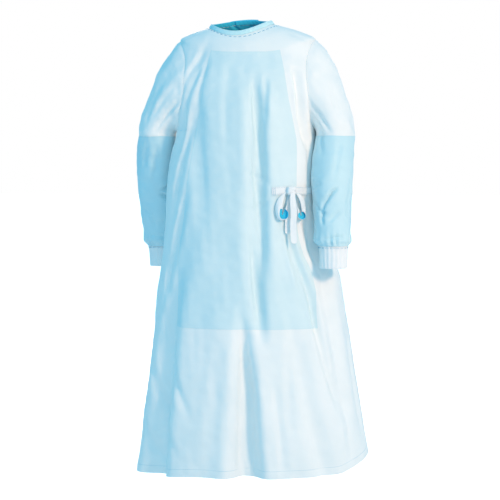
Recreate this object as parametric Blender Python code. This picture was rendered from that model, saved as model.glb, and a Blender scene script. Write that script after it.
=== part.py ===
"""Surgical gown with a tied side bow, hollow and filled out as if worn.

Metres, +Z up. The front faces -Y and +X is the viewer's right. The origin lies at the base of the
neck, midway between the shoulders. The cloth is a set of thin walls: a body form of stacked
sections gives the front and the two lapped back panels, the sleeves run from the armhole edges,
and what lies on a panel is made from that panel's points, moved out.
"""

import bpy
import numpy as np

# Cloth
WALL = 0.0018
OVERLAY = 0.0012
GAP = 0.0003
FLAP_LIFT = 0.0042

# Heights of the body, measured at the side seams
NECK_HEIGHT = 0.010
SHOULDER_HEIGHT = -0.027
UNDERARM_HEIGHT = -0.265
REINFORCEMENT_HEM = -0.762
HEM_HEIGHT = -1.144

# Armholes: how far the form swells past the side line, and how far round the seam cuts in,
# in degrees
ARMHOLE_SWELL = 0.022
ARMHOLE_TURN = {"front": 27.0, "back": 22.0}

# Sleeves and cuffs
SLEEVE_PANEL_TOP = -0.275
CUFF_TOP = {"right": -0.566, "left": -0.584}
CUFF_LENGTH = 0.057
CUFF_RIBS = 20
RIB_HEIGHT = 0.0009

# Lapped back panels, as angles round the body, in degrees
INNER_EDGE = 254.0
OUTER_EDGE = 306.0
EDGE_TOLERANCE = 1.0
LIFT_START = 238.0
LIFT_END = 248.0

# Neck binding and fastener tab
BINDING_HEIGHT = 0.013
BINDING_PROUD = 0.0008
BINDING_TILT = 0.7
BINDING_SHOULDER = 0.8
BINDING_CORNER = 0.0010

# Waist tie
BELT_HEIGHT = -0.419
BELT_WIDTH = 0.020
BELT_START_X = 0.071
KNOT_X = 0.117
KNOT_SIZE = (0.0120, 0.0120, 0.0078)
KNOT_STANDOFF = 0.0076
KNOT_ROUNDNESS = 0.6
KNOT_LEVELS = (-75, -48, -20, 20, 48, 75)
KNOT_SIDES = 12
TAPE = 0.0012

# Sections of the body: half widths to the viewer's right and left of the centre, depths to the
# front and back, squareness of both halves, drop of the front and rise of the back
BODY_COLUMNS = (
    "height", "centre", "right", "left", "front", "back", "square_front", "square_back",
    "drop", "rise", "tilt",
)
BODY_SECTIONS = (
    (0.010, -0.023, 0.082, 0.082, 0.080, 0.066, 2.00, 2.00, 0.030, 0.009, 0.004),
    (0.000, -0.003, 0.117, 0.127, 0.090, 0.078, 2.00, 2.00, 0.036, 0.006, 0.000),
    (-0.027, 0.000, 0.176, 0.181, 0.097, 0.090, 2.05, 2.00, 0.036, 0.003, 0.000),
    (-0.103, 0.000, 0.178, 0.186, 0.118, 0.109, 2.15, 2.00, 0.018, 0.000, 0.000),
    (-0.183, 0.000, 0.176, 0.189, 0.132, 0.118, 2.20, 2.00, 0.006, 0.000, 0.000),
    (-0.265, 0.000, 0.173, 0.191, 0.140, 0.122, 2.20, 1.90, 0.000, 0.000, 0.000),
    (-0.328, 0.000, 0.170, 0.205, 0.142, 0.122, 2.20, 1.85, 0.000, 0.000, 0.000),
    (-0.415, 0.000, 0.173, 0.216, 0.144, 0.127, 2.20, 1.85, 0.000, 0.000, 0.000),
    (-0.502, 0.000, 0.182, 0.222, 0.150, 0.136, 2.15, 1.85, 0.000, 0.000, 0.000),
    (-0.579, 0.000, 0.205, 0.229, 0.157, 0.147, 2.10, 1.90, 0.000, 0.000, 0.000),
    (-0.637, 0.000, 0.240, 0.236, 0.163, 0.156, 2.10, 2.00, 0.000, 0.000, 0.000),
    (-0.753, 0.000, 0.259, 0.249, 0.176, 0.172, 2.10, 2.05, 0.000, 0.000, 0.000),
    (-0.917, 0.000, 0.284, 0.272, 0.192, 0.190, 2.10, 2.05, 0.000, 0.000, 0.000),
    (-1.144, 0.000, 0.318, 0.304, 0.211, 0.210, 2.05, 2.05, 0.000, 0.000, 0.000),
)

# How evenly the front's drop spreads over a section, at the neck and below the shoulders
NECK_SPREAD = 2.0
BODY_SPREAD = 6.0

# Hem: how much higher than the side height it hangs at each angle
HEM_COLUMNS = ("angle", "lift")
HEM_LIFTS = (
    (0, 0.033), (35, -0.004), (70, -0.004), (120, -0.006), (150, -0.018), (180, -0.022), (270, 0.000),
    (360, 0.033),
)
HEM_LIFT_START = -0.772

# Large folds of the body: a trough with a low ridge on both sides, from one angle and height to
# another
FOLD_COLUMNS = (
    "top_angle", "top", "bottom_angle", "bottom", "top_width", "bottom_width",
    "top_depth", "bottom_depth",
)
FOLDS = (
    (69, -0.145, 72, -0.830, 0.026, 0.032, 0.013, 0.006),
    (88, -0.714, 78, -1.254, 0.020, 0.052, 0.004, 0.034),
    (124, -0.540, 146, -1.254, 0.024, 0.046, 0.005, 0.026),
    (142, -0.097, 128, -0.540, 0.026, 0.030, 0.005, 0.006),
    (27, -0.425, 20, -1.042, 0.022, 0.030, 0.010, 0.010),
    (52, -0.733, 33, -1.216, 0.024, 0.036, 0.005, 0.014),
    (108, -0.868, 110, -1.254, 0.026, 0.040, 0.003, 0.012),
    (196, -0.540, 190, -1.254, 0.026, 0.042, 0.004, 0.018),
    (222, -0.289, 216, -1.254, 0.026, 0.048, 0.007, 0.026),
    (246, -0.618, 244, -1.254, 0.024, 0.040, 0.004, 0.016),
    (276, -0.232, 272, -1.254, 0.028, 0.050, 0.006, 0.024),
    (318, -0.405, 306, -1.254, 0.026, 0.046, 0.006, 0.022),
    (342, -0.675, 336, -1.254, 0.024, 0.040, 0.004, 0.016),
)
FOLD_FADE = 0.090
RIDGE_SHARE = 1.2

# Half width of the front reinforcement at each height
PANEL_COLUMNS = ("height", "half")
PANEL_EDGES = (
    (0.010, 0.078), (-0.027, 0.089), (-0.141, 0.108), (-0.257, 0.128), (-0.411, 0.150),
    (-0.565, 0.172), (-0.762, 0.200), (-1.144, 0.232),
)
PANEL_WIDEST_SHARE = 0.75

# Sections of the two sleeves, the last one at the cuff's lower edge
SLEEVE_COLUMNS = ("height", "x", "y", "half_x", "half_y")
SLEEVE_SECTIONS = {
    "right": (
        (-0.275, 0.2290, -0.022, 0.0515, 0.066),
        (-0.347, 0.2235, -0.052, 0.0530, 0.062),
        (-0.415, 0.2225, -0.064, 0.0520, 0.058),
        (-0.482, 0.2240, -0.078, 0.0485, 0.053),
        (-0.526, 0.2260, -0.092, 0.0460, 0.047),
        (-0.552, 0.2265, -0.098, 0.0480, 0.045),
        (-0.566, 0.2270, -0.103, 0.0405, 0.035),
        (-0.623, 0.2280, -0.118, 0.0390, 0.031),
    ),
    "left": (
        (-0.275, -0.2490, 0.020, 0.0500, 0.066),
        (-0.347, -0.2560, 0.056, 0.0520, 0.061),
        (-0.415, -0.2600, 0.076, 0.0510, 0.057),
        (-0.482, -0.2590, 0.094, 0.0480, 0.053),
        (-0.540, -0.2560, 0.106, 0.0460, 0.047),
        (-0.569, -0.2540, 0.111, 0.0480, 0.045),
        (-0.584, -0.2530, 0.114, 0.0405, 0.035),
        (-0.641, -0.2530, 0.121, 0.0390, 0.031),
    ),
}
SLEEVE_ROW_SHARES = (0.0, 0.126, 0.253, 0.382, 0.498, 0.614, 0.726, 0.846, 0.914, 0.958, 1.0)
SLEEVE_CAP_STEPS = (0.0, 0.13, 0.28, 0.44, 0.60, 0.75, 0.88, 1.0)
CAP_SLOPE = 0.55
CAP_REACH = 0.58

# Creases across a sleeve: the side of the tube that they pinch, in degrees from its outer side
CREASE_COLUMNS = ("angle", "height", "width", "reach", "depth")
SLEEVE_CREASES = {
    "right": (
        (140, -0.454, 0.022, 1.0, 0.009), (80, -0.487, 0.018, 0.8, 0.006),
        (120, -0.188, 0.030, 0.6, 0.008),
    ),
    "left": (
        (75, -0.405, 0.024, 0.9, 0.008), (120, -0.463, 0.020, 0.8, 0.006),
        (110, -0.183, 0.030, 0.6, 0.006),
    ),
}

# Bow: centre lines of the loops and tails, to the right, up and out from the knot's place on the tie
LOOP_COLUMNS = ("right", "up")
LOOP_LEFT = (
    (-0.0126, -0.003), (-0.0270, -0.012), (-0.0400, -0.029), (-0.0440, -0.047), (-0.0410, -0.063),
    (-0.0310, -0.074), (-0.0200, -0.072), (-0.0130, -0.056), (-0.0108, -0.034), (-0.0086, -0.0122),
)
LOOP_RIGHT = (
    (0.0125, -0.003), (0.0270, -0.010), (0.0400, -0.026), (0.0450, -0.044), (0.0420, -0.061),
    (0.0330, -0.073), (0.0230, -0.072), (0.0160, -0.056), (0.0120, -0.034), (0.0088, -0.0122),
)
BOW_FACING = 0.45
LOOP_BACK = 0.0045
LOOP_DEPTH = 0.0090
LOOP_FLARE = 0.0075
LOOP_SEGMENTS = 22
TAIL_COLUMNS = ("right", "up", "out")
TAIL_FRONT = (
    (0.003, -0.0080, 0.0152), (0.007, -0.040, 0.0172), (0.008, -0.085, 0.0170), (0.009, -0.132, 0.0160),
)
TAIL_BACK = (
    (-0.002, -0.0119, 0.0020), (-0.007, -0.040, 0.0022), (-0.009, -0.075, 0.0024), (-0.010, -0.109, 0.0030),
)
TAIL_HALF_WIDTH = 0.0080
TAIL_SEGMENTS = 8
TAIL_SAMPLES = 100
TIP_SEGMENTS = 3
TIP_DEGREES = 75

# Angles of the front between which the cloth under the bow is looked for, in degrees
UNDER_BOW = (2.0, 75.0)
UNDER_BOW_STEPS = 60

# Spacing of the panels' rows and columns, the tab over the last three rows of the yoke
FASTENER_ROWS = (-0.004, -0.014, -0.022)
YOKE_ROWS = (0.010, 0.004) + FASTENER_ROWS
ARMHOLE_STEPS = 9
SKIRT_ROWS = (
    -0.289, -0.323, -0.362, BELT_HEIGHT + BELT_WIDTH / 2, BELT_HEIGHT - BELT_WIDTH / 2, -0.463, -0.511,
    -0.560, -0.598, -0.632, -0.675, -0.719, REINFORCEMENT_HEM, -0.820, -0.883, -0.946, -1.013, -1.081,
    HEM_HEIGHT,
)
FRONT_SIDE_COLUMNS = 8
FRONT_PANEL_COLUMNS = 16
BACK_SIDE_COLUMNS = 8
LAP_COLUMNS = 7
BACK_INNER_COLUMNS = 6
FASTENER_REACH = 2
BELT_REACH = 2

WHITE_CLOTH = (0.86, 0.90, 0.93)
FRONT_CLOTH = (0.57, 0.80, 0.88)
SLEEVE_CLOTH = (0.48, 0.77, 0.88)
KNIT = (0.92, 0.94, 0.95)
TIE_CLOTH = (0.88, 0.93, 0.95)
CLOTH_ROUGHNESS = 0.75
SHARP_DEGREES = 50


def column(table, names, name):
    """One named column of a table, as an array."""
    return np.array([row[names.index(name)] for row in table], float)


def smooth(at, keys, values):
    """A curve through a table's rows that never overshoots them, read at the given keys."""
    if keys[0] > keys[-1]:
        keys, values = keys[::-1], values[::-1]
    step = np.diff(keys)
    rise = np.diff(values) / step
    slope = np.zeros_like(values)
    same = rise[:-1] * rise[1:] > 0
    total = np.where(same, rise[:-1] + rise[1:], 1.0)
    slope[1:-1] = np.where(same, 2 * rise[:-1] * rise[1:] / total, 0.0)
    slope[0], slope[-1] = rise[0], rise[-1]
    at = np.clip(at, keys[0], keys[-1])
    i = np.clip(np.searchsorted(keys, at) - 1, 0, len(step) - 1)
    t = (at - keys[i]) / step[i]
    ends = values[i] * (1 + 2 * t) * (1 - t) ** 2 + values[i + 1] * t * t * (3 - 2 * t)
    return ends + step[i] * (slope[i] * t * (1 - t) ** 2 - slope[i + 1] * t * t * (1 - t))


def ease(value, start, end):
    """0 before start, 1 past end, with a soft ramp between them."""
    t = np.clip((value - start) / (end - start), 0, 1)
    return t * t * (3 - 2 * t)


def unit(vectors):
    """Vectors of length one."""
    return vectors / np.linalg.norm(vectors, axis=-1, keepdims=True)


def section(level, name):
    """One measure of the body's section at a height."""
    heights = column(BODY_SECTIONS, BODY_COLUMNS, "height")
    return smooth(level, heights, column(BODY_SECTIONS, BODY_COLUMNS, name))


def armhole_share(level):
    """0 at the shoulder point and above, 1 at the underarm and below."""
    return np.clip((SHOULDER_HEIGHT - level) / (SHOULDER_HEIGHT - UNDERARM_HEIGHT), 0, 1)


def swell(level):
    """How far the form stands past the side line at a height, softly between shoulder and underarm."""
    return ARMHOLE_SWELL * np.sin(np.pi * armhole_share(level)) ** 2


def fold_depth(angle, level, radius):
    """How far the large folds push the cloth out, negative in a trough."""
    moved = np.zeros_like(radius)
    for row in FOLDS:
        fold = dict(zip(FOLD_COLUMNS, row))
        share = np.clip((fold["top"] - level) / (fold["top"] - fold["bottom"]), 0, 1)
        middle = np.radians(fold["top_angle"] + share * (fold["bottom_angle"] - fold["top_angle"]))
        width = fold["top_width"] + share * (fold["bottom_width"] - fold["top_width"])
        depth = fold["top_depth"] + share * (fold["bottom_depth"] - fold["top_depth"])
        fade = ease(-level, -fold["top"] - FOLD_FADE / 2, -fold["top"] + FOLD_FADE)
        fade = fade * (1 - ease(-level, -fold["bottom"] - FOLD_FADE, -fold["bottom"]))
        turn = (angle - middle + np.pi) % (2 * np.pi) - np.pi
        across = turn * radius / width
        moved = moved - depth * fade * (1 - RIDGE_SHARE * across**2) * np.exp(-(across**2))
    return moved


def hem_lift(angle):
    """How much higher than the side height the hem hangs at an angle."""
    angles = column(HEM_LIFTS, HEM_COLUMNS, "angle")
    return smooth(np.degrees(angle) % 360, angles, column(HEM_LIFTS, HEM_COLUMNS, "lift"))


def body_surface(angle, level):
    """Outer face of the body's cloth. Angle 0 is the viewer's right side seam, 90 degrees the front."""
    cos, sin = np.cos(angle), np.sin(angle)
    half = np.where(cos >= 0, section(level, "right"), section(level, "left")) + swell(level)
    depth = np.where(sin >= 0, section(level, "front"), section(level, "back"))
    power = np.where(sin >= 0, section(level, "square_front"), section(level, "square_back"))
    radius = (np.abs(cos / half) ** power + np.abs(sin / depth) ** power) ** (-1 / power)
    radius = radius + fold_depth(angle, level, radius)
    below = ease(-level, -NECK_HEIGHT, -SHOULDER_HEIGHT)
    middle = 1 - np.abs(cos) ** (NECK_SPREAD + (BODY_SPREAD - NECK_SPREAD) * below)
    shift = np.where(sin >= 0, -section(level, "drop"), section(level, "rise"))
    height = level + shift * middle + section(level, "tilt") * cos
    height = height + hem_lift(angle) * ease(-level, -HEM_LIFT_START, -HEM_HEIGHT)
    return np.stack([section(level, "centre") + radius * cos, -radius * sin, height], axis=-1)


def body_normals(angle, level):
    """Outward directions of the body's cloth, from small steps along and down the form."""
    turn, drop = 1e-4, 1e-4
    along = body_surface(angle + turn, level) - body_surface(angle - turn, level)
    up = body_surface(angle, level + drop) - body_surface(angle, np.maximum(level - drop, HEM_HEIGHT))
    return unit(np.cross(up, along))


def angle_at(x, level):
    """Angle on the front half where the form reaches x from its centre line."""
    half = np.where(x >= 0, section(level, "right"), section(level, "left")) + swell(level)
    power = section(level, "square_front")
    share = np.clip(1 - np.abs(x / half) ** power, 0, 1) ** (1 / power)
    return np.arctan2(section(level, "front") * share, x)


def armhole_angles(level, side, face):
    """Angles of an armhole's oval edge at each height, or of the side seam where there is none."""
    share = armhole_share(level)
    turn = np.radians(ARMHOLE_TURN[face]) * np.sqrt(4 * share * (1 - share))
    if face == "front":
        return turn if side > 0 else np.pi - turn
    return 2 * np.pi - turn if side > 0 else np.pi + turn


def body_rows():
    """Heights of the panels' rows, closest at the top and foot of the armholes."""
    share = (1 - np.cos(np.linspace(0, np.pi, ARMHOLE_STEPS + 1))) / 2
    armhole = SHOULDER_HEIGHT + share * (UNDERARM_HEIGHT - SHOULDER_HEIGHT)
    return np.concatenate([YOKE_ROWS, armhole, SKIRT_ROWS])


def spread(start, end, count):
    """Columns of angles from one edge to another, a row for each height."""
    share = np.linspace(0, 1, count + 1)
    return start[:, None] + (end - start)[:, None] * share


def front_angles(rows):
    """Angles of the front panel's columns, two of them on the reinforcement's edges."""
    heights = column(PANEL_EDGES, PANEL_COLUMNS, "height")
    edge = smooth(rows, heights, column(PANEL_EDGES, PANEL_COLUMNS, "half"))
    right = angle_at(np.minimum(edge, PANEL_WIDEST_SHARE * section(rows, "right")), rows)
    left = angle_at(-np.minimum(edge, PANEL_WIDEST_SHARE * section(rows, "left")), rows)
    first = spread(armhole_angles(rows, 1, "front"), right, FRONT_SIDE_COLUMNS)
    middle = spread(right, left, FRONT_PANEL_COLUMNS)
    last = spread(left, armhole_angles(rows, -1, "front"), FRONT_SIDE_COLUMNS)
    return np.concatenate([first, middle[:, 1:], last[:, 1:]], axis=1)


def lap_angles(rows):
    """Angles of the columns that both back panels share where they lap."""
    every = np.ones(len(rows))
    return spread(every * np.radians(INNER_EDGE), every * np.radians(OUTER_EDGE), LAP_COLUMNS)


def back_outer_angles(rows):
    """Angles of the outer back panel, from the viewer's left side seam to its free edge."""
    start = np.full(len(rows), np.radians(LIFT_START))
    lifted = np.full((len(rows), 1), np.radians(LIFT_END))
    side = spread(armhole_angles(rows, -1, "back"), start, BACK_SIDE_COLUMNS)
    return np.concatenate([side, lifted, lap_angles(rows)], axis=1)


def back_inner_angles(rows):
    """Angles of the inner back panel, from its free edge to the viewer's right side seam."""
    lap = lap_angles(rows)
    side = spread(lap[:, -1], armhole_angles(rows, 1, "back"), BACK_INNER_COLUMNS)
    return np.concatenate([lap, side[:, 1:]], axis=1)


def flap_lift(angle):
    """How far the outer back panel stands off the form, over the inner panel."""
    return FLAP_LIFT * ease(np.degrees(angle), LIFT_START, LIFT_END)


def eased_from_seams(grid):
    """The grid with both side edges drawn in by half a seam gap."""
    grid = grid.copy()
    grid[:, 0] += unit(grid[:, 1] - grid[:, 0]) * GAP / 2
    grid[:, -1] += unit(grid[:, -2] - grid[:, -1]) * GAP / 2
    return grid


def panel_grids(angles, rows, lift=None):
    """Outer and inner points of a body panel, and its outward directions."""
    levels = np.broadcast_to(rows[:, None], angles.shape)
    normals = body_normals(angles, levels)
    outer = body_surface(angles, levels)
    if lift is not None:
        outer = outer + normals * lift[..., None]
    return eased_from_seams(outer), eased_from_seams(outer - normals * WALL), normals


def grid_triangles(rows, columns, start, flip, around):
    """Triangles over a grid of points, each square cut along the same diagonal."""
    row = np.arange(rows - 1)[:, None]
    here = np.arange(columns if around else columns - 1)[None, :]
    after = (here + 1) % columns
    a, b = row * columns + here, row * columns + after
    c, d = (row + 1) * columns + after, (row + 1) * columns + here
    faces = np.concatenate([np.stack([a, b, c], -1).reshape(-1, 3), np.stack([a, c, d], -1).reshape(-1, 3)])
    return start + (faces[:, ::-1] if flip else faces)


def rim_triangles(outer, inner):
    """Triangles that join a line of outer points to the inner line under it."""
    a, b, c, d = outer[:-1], outer[1:], inner[1:], inner[:-1]
    return np.concatenate([np.stack([a, d, c], -1), np.stack([a, c, b], -1)])


def wall_mesh(outer, inner, around=False):
    """Points and triangles of a closed wall between two grids, open tubes where around is set."""
    rows, columns = outer.shape[:2]
    points = np.concatenate([outer.reshape(-1, 3), inner.reshape(-1, 3)])
    index = np.arange(rows * columns).reshape(rows, columns)
    faces = [grid_triangles(rows, columns, 0, False, around)]
    faces.append(grid_triangles(rows, columns, rows * columns, True, around))
    if around:
        index = np.concatenate([index, index[:, :1]], axis=1)
        rims = [index[0], index[-1, ::-1]]
    else:
        rims = [np.concatenate([index[0], index[1:, -1], index[-1, -2::-1], index[-2::-1, 0]])]
    for rim in rims:
        faces.append(rim_triangles(rim, rim + rows * columns))
    return points, np.concatenate(faces)


def swept_mesh(rings):
    """Points and triangles of a band swept through rings of points, capped at both ends."""
    count, sides = rings.shape[:2]
    points = np.concatenate([rings.reshape(-1, 3), rings[0].mean(0)[None], rings[-1].mean(0)[None]])
    faces = [grid_triangles(count, sides, 0, False, True)]
    for ring, middle in ((0, count * sides), (count - 1, count * sides + 1)):
        a = ring * sides + np.arange(sides)
        b = ring * sides + (np.arange(sides) + 1) % sides
        cap = np.stack([b, a, np.full(sides, middle)], -1)
        faces.append(cap if ring == 0 else cap[:, ::-1])
    return points, np.concatenate(faces)


def add_piece(name, mesh_data, colour):
    """One named piece of cloth from its points and triangles, faces pointing out."""
    points, faces = mesh_data
    corners = points[faces]
    volume = np.einsum("ij,ij->i", corners[:, 0], np.cross(corners[:, 1], corners[:, 2])).sum()
    faces = faces if volume > 0 else faces[:, ::-1]
    mesh = bpy.data.meshes.new(name)
    mesh.from_pydata(points.tolist(), [], faces.tolist())
    mesh.shade_smooth()
    mesh.set_sharp_from_angle(angle=np.radians(SHARP_DEGREES))
    material = bpy.data.materials.new(name + "_cloth")
    material.use_nodes = True
    shader = material.node_tree.nodes["Principled BSDF"]
    shader.inputs["Base Color"].default_value = (*colour, 1.0)
    shader.inputs["Roughness"].default_value = CLOTH_ROUGHNESS
    mesh.materials.append(material)
    piece = bpy.data.objects.new(name, mesh)
    bpy.context.scene.collection.objects.link(piece)
    piece.parent = bpy.data.objects["gown"]


def armhole_rim(side):
    """Outer points, outward directions and directions away from the body, round one armhole."""
    rows = body_rows()
    first = len(YOKE_ROWS)
    rows = rows[first : first + ARMHOLE_STEPS + 1]
    levels = np.concatenate([rows, rows[-2:0:-1]])
    front = armhole_angles(rows, side, "front")
    back = armhole_angles(rows, side, "back")
    angles = np.concatenate([front, back[-2:0:-1]])
    points = body_surface(angles, levels)
    normals = body_normals(angles, levels)
    along = np.roll(points, -1, axis=0) - np.roll(points, 1, axis=0)
    away = unit(np.cross(along, normals))
    away = away * np.sign(away[0, 0] * side)
    return points, normals, away


def sleeve_section(side_name, level, name):
    """One measure of a sleeve's section at a height."""
    table = SLEEVE_SECTIONS[side_name]
    return smooth(level, column(table, SLEEVE_COLUMNS, "height"), column(table, SLEEVE_COLUMNS, name))


def sleeve_ring(side_name, side, level, turn, grow=0.0):
    """Level rings round a sleeve, one for each height, from its outer side over the front."""
    across = (sleeve_section(side_name, level, "half_x") + grow) * np.cos(turn) * side
    forward = (sleeve_section(side_name, level, "half_y") + grow) * np.sin(turn)
    x = sleeve_section(side_name, level, "x") + across
    y = sleeve_section(side_name, level, "y") - forward
    return np.stack([x, y, np.broadcast_to(level, x.shape)], axis=-1)


def crease_depth(side_name, turn, height):
    """How far the sleeve's creases pinch it in."""
    moved = np.zeros(np.broadcast(turn, height).shape)
    for row in SLEEVE_CREASES[side_name]:
        crease = dict(zip(CREASE_COLUMNS, row))
        around = (turn - np.radians(crease["angle"]) + np.pi) % (2 * np.pi) - np.pi
        along = (height - crease["height"]) / crease["width"]
        moved = moved + crease["depth"] * np.exp(-((around / crease["reach"]) ** 2) - along**2)
    return moved


def sleeve_grid(side_name, side):
    """Outer points of a sleeve, from the armhole to the cuff."""
    points, _, away = armhole_rim(side)
    rim = points + away * GAP
    steps = np.linalg.norm(np.roll(rim, -1, axis=0) - rim, axis=1)
    turn = 2 * np.pi * np.concatenate([[0], np.cumsum(steps)[:-1]]) / steps.sum()
    level = np.full(len(turn), SLEEVE_PANEL_TOP)
    target = sleeve_ring(side_name, side, level, turn)
    reach = np.linalg.norm(target - rim, axis=1, keepdims=True) * CAP_REACH
    slope = -CAP_SLOPE * np.clip(np.cos(turn), 0, 1) ** 2
    leave = unit(np.stack([np.full(len(turn), float(side)), np.zeros(len(turn)), slope], axis=-1)) * reach
    arrive = np.array([0.0, 0.0, -1.0]) * reach
    t = np.array(SLEEVE_CAP_STEPS)[:, None, None]
    cap = rim * (1 + 2 * t) * (1 - t) ** 2 + target * t * t * (3 - 2 * t)
    cap = cap + leave * t * (1 - t) ** 2 - arrive * t * t * (1 - t)
    rows = SLEEVE_PANEL_TOP + np.array(SLEEVE_ROW_SHARES) * (CUFF_TOP[side_name] - SLEEVE_PANEL_TOP)
    tube = sleeve_ring(side_name, side, rows[1:, None], turn[None, :])
    grid = np.concatenate([cap, tube])
    inward = crease_depth(side_name, turn[None, :], grid[..., 2])
    inward[0] = 0.0
    inward[-1] = 0.0
    return grid - tube_normals(grid) * inward[..., None]


def tube_normals(grid):
    """Outward directions round a tube, level at its last ring."""
    around = np.roll(grid, -1, axis=1) - np.roll(grid, 1, axis=1)
    along = np.gradient(grid, axis=0)
    normals = unit(np.cross(around, along))
    centre = grid.mean(axis=1, keepdims=True)
    normals = normals * np.sign(np.sum(normals * (grid - centre)))
    normals[-1, :, 2] = 0.0
    return unit(normals)


def add_sleeve(side_name, side):
    """A sleeve, its second layer from above the elbow to the cuff seam, and its knit cuff."""
    grid = sleeve_grid(side_name, side)
    normals = tube_normals(grid)
    inner = grid - normals * WALL
    points, rim_normals, away = armhole_rim(side)
    inner[0] = points - rim_normals * WALL + away * GAP
    add_piece("sleeve_" + side_name, wall_mesh(grid, inner, around=True), WHITE_CLOTH)
    first = len(SLEEVE_CAP_STEPS) - 1
    base, out = grid[first:], normals[first:]
    layer = wall_mesh(base + out * (GAP + OVERLAY), base + out * GAP, around=True)
    add_piece("sleeve_reinforcement_" + side_name, layer, SLEEVE_CLOTH)
    add_cuff(side_name, side)


def add_cuff(side_name, side):
    """A knit cuff: raised ribs on the outer face of a plain tube."""
    level = CUFF_TOP[side_name] - np.array([GAP, CUFF_LENGTH / 2, CUFF_LENGTH])[:, None]
    turn = np.linspace(0, 2 * np.pi, 2 * CUFF_RIBS, endpoint=False)[None, :]
    inner = sleeve_ring(side_name, side, level, turn, grow=-WALL)
    rib = np.where(np.arange(2 * CUFF_RIBS) % 2 == 0, RIB_HEIGHT, 0.0)[None, :]
    outer = sleeve_ring(side_name, side, level, turn, grow=rib - WALL / 2)
    add_piece("cuff_" + side_name, wall_mesh(outer, inner, around=True), KNIT)


def add_body():
    """The front, its reinforcement and the two lapped back panels."""
    rows = body_rows()
    angles = front_angles(rows)
    outer, inner, normals = panel_grids(angles, rows)
    add_piece("front_body", wall_mesh(outer, inner), WHITE_CLOTH)
    top = len(YOKE_ROWS)
    bottom = int(np.argmin(np.abs(rows - REINFORCEMENT_HEM)))
    left, right = FRONT_SIDE_COLUMNS, FRONT_SIDE_COLUMNS + FRONT_PANEL_COLUMNS
    base = outer[top : bottom + 1, left : right + 1]
    out = normals[top : bottom + 1, left : right + 1]
    layer = wall_mesh(base + out * (GAP + OVERLAY), base + out * GAP)
    add_piece("front_reinforcement", layer, FRONT_CLOTH)
    angles = back_outer_angles(rows)
    outer, inner, _ = panel_grids(angles, rows, flap_lift(angles))
    add_piece("back_outer", wall_mesh(outer, inner), WHITE_CLOTH)
    outer, inner, _ = panel_grids(back_inner_angles(rows), rows)
    add_piece("back_inner", wall_mesh(outer, inner), WHITE_CLOTH)


def add_strip(name, angles, rows, lifts):
    """A flat strip of tape over the body panels' own points, lifted off them."""
    levels = np.broadcast_to(rows[:, None], angles.shape)
    normals = body_normals(angles, levels)
    low = body_surface(angles, levels) + normals * lifts[..., None]
    add_piece(name, wall_mesh(low + normals * TAPE, low), TIE_CLOTH)


def add_belt():
    """The flat tie: stitched down on the front, round the side and onto the outer back panel."""
    rows = np.array([BELT_HEIGHT + BELT_WIDTH / 2, BELT_HEIGHT - BELT_WIDTH / 2])
    front = front_angles(rows)
    start = angle_at(np.array([BELT_START_X]), rows[:1])[0]
    begin = int(np.argmin(np.abs(front[0] - start)))
    back = back_inner_angles(rows)[:, ::-1] - 2 * np.pi
    back = back[:, 1 : BACK_INNER_COLUMNS + BELT_REACH + 1]
    angles = np.concatenate([front[:, begin::-1], back], axis=1)
    flap_edge = np.radians(OUTER_EDGE + EDGE_TOLERANCE) - 2 * np.pi
    lifts = np.where(angles <= flap_edge, FLAP_LIFT + GAP, GAP + OVERLAY + GAP)
    add_strip("belt", angles, rows, lifts)


def add_neck_fastener():
    """The tab that closes the neck at the back, on the outer panel and over its free edge."""
    rows = np.array(FASTENER_ROWS)
    first, last = LAP_COLUMNS - FASTENER_REACH, LAP_COLUMNS + FASTENER_REACH
    angles = back_inner_angles(rows)[:, first : last + 1]
    lifts = np.where(angles <= np.radians(OUTER_EDGE + EDGE_TOLERANCE), FLAP_LIFT + GAP, GAP)
    add_strip("neck_fastener", angles, rows, lifts)


def add_neck_binding():
    """The rolled binding that stands on the neckline, from one back panel's edge to the other's."""
    row = np.array([NECK_HEIGHT])
    outer = back_outer_angles(row)[0, ::-1]
    front = front_angles(row)[0, ::-1]
    inner = back_inner_angles(row)[0, ::-1] - 2 * np.pi
    angles = np.concatenate([outer, front[1:], inner[1:]])
    lift = np.concatenate([flap_lift(outer), np.zeros(len(front) + len(inner) - 2)])
    level = np.full(len(angles), NECK_HEIGHT)
    normals = body_normals(angles, level)
    points = body_surface(angles, level) + normals * lift[:, None]
    along = unit(np.gradient(points, axis=0))
    rise = unit(np.cross(along, normals))
    rise = rise * np.sign(rise[:, 2:])
    stand = unit(rise + BINDING_TILT * np.array([0.0, 0.0, 1.0]))
    out = unit(normals - np.sum(normals * stand, axis=1, keepdims=True) * stand)
    proud, back = BINDING_PROUD, -WALL - BINDING_PROUD
    bend = BINDING_HEIGHT * BINDING_SHOULDER
    profile = (
        (GAP, proud), (bend, proud), (BINDING_HEIGHT, proud - BINDING_CORNER),
        (BINDING_HEIGHT, back + BINDING_CORNER), (bend, back), (GAP, back),
    )
    rings = np.stack([points + stand * up + out * side for up, side in profile], axis=1)
    add_piece("neck_binding", swept_mesh(rings), TIE_CLOTH)


def knot_frame():
    """Place of the knot on the form, with the directions right, up and out."""
    level = np.array([BELT_HEIGHT])
    angle = angle_at(np.array([KNOT_X]), level)
    out = body_normals(angle, level)[0] + np.array([0.0, -BOW_FACING, 0.0])
    out = unit(out * np.array([1.0, 1.0, 0.0]))
    right = np.array([-out[1], out[0], 0.0])
    return body_surface(angle, level)[0], right, np.array([0.0, 0.0, 1.0]), out


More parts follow.
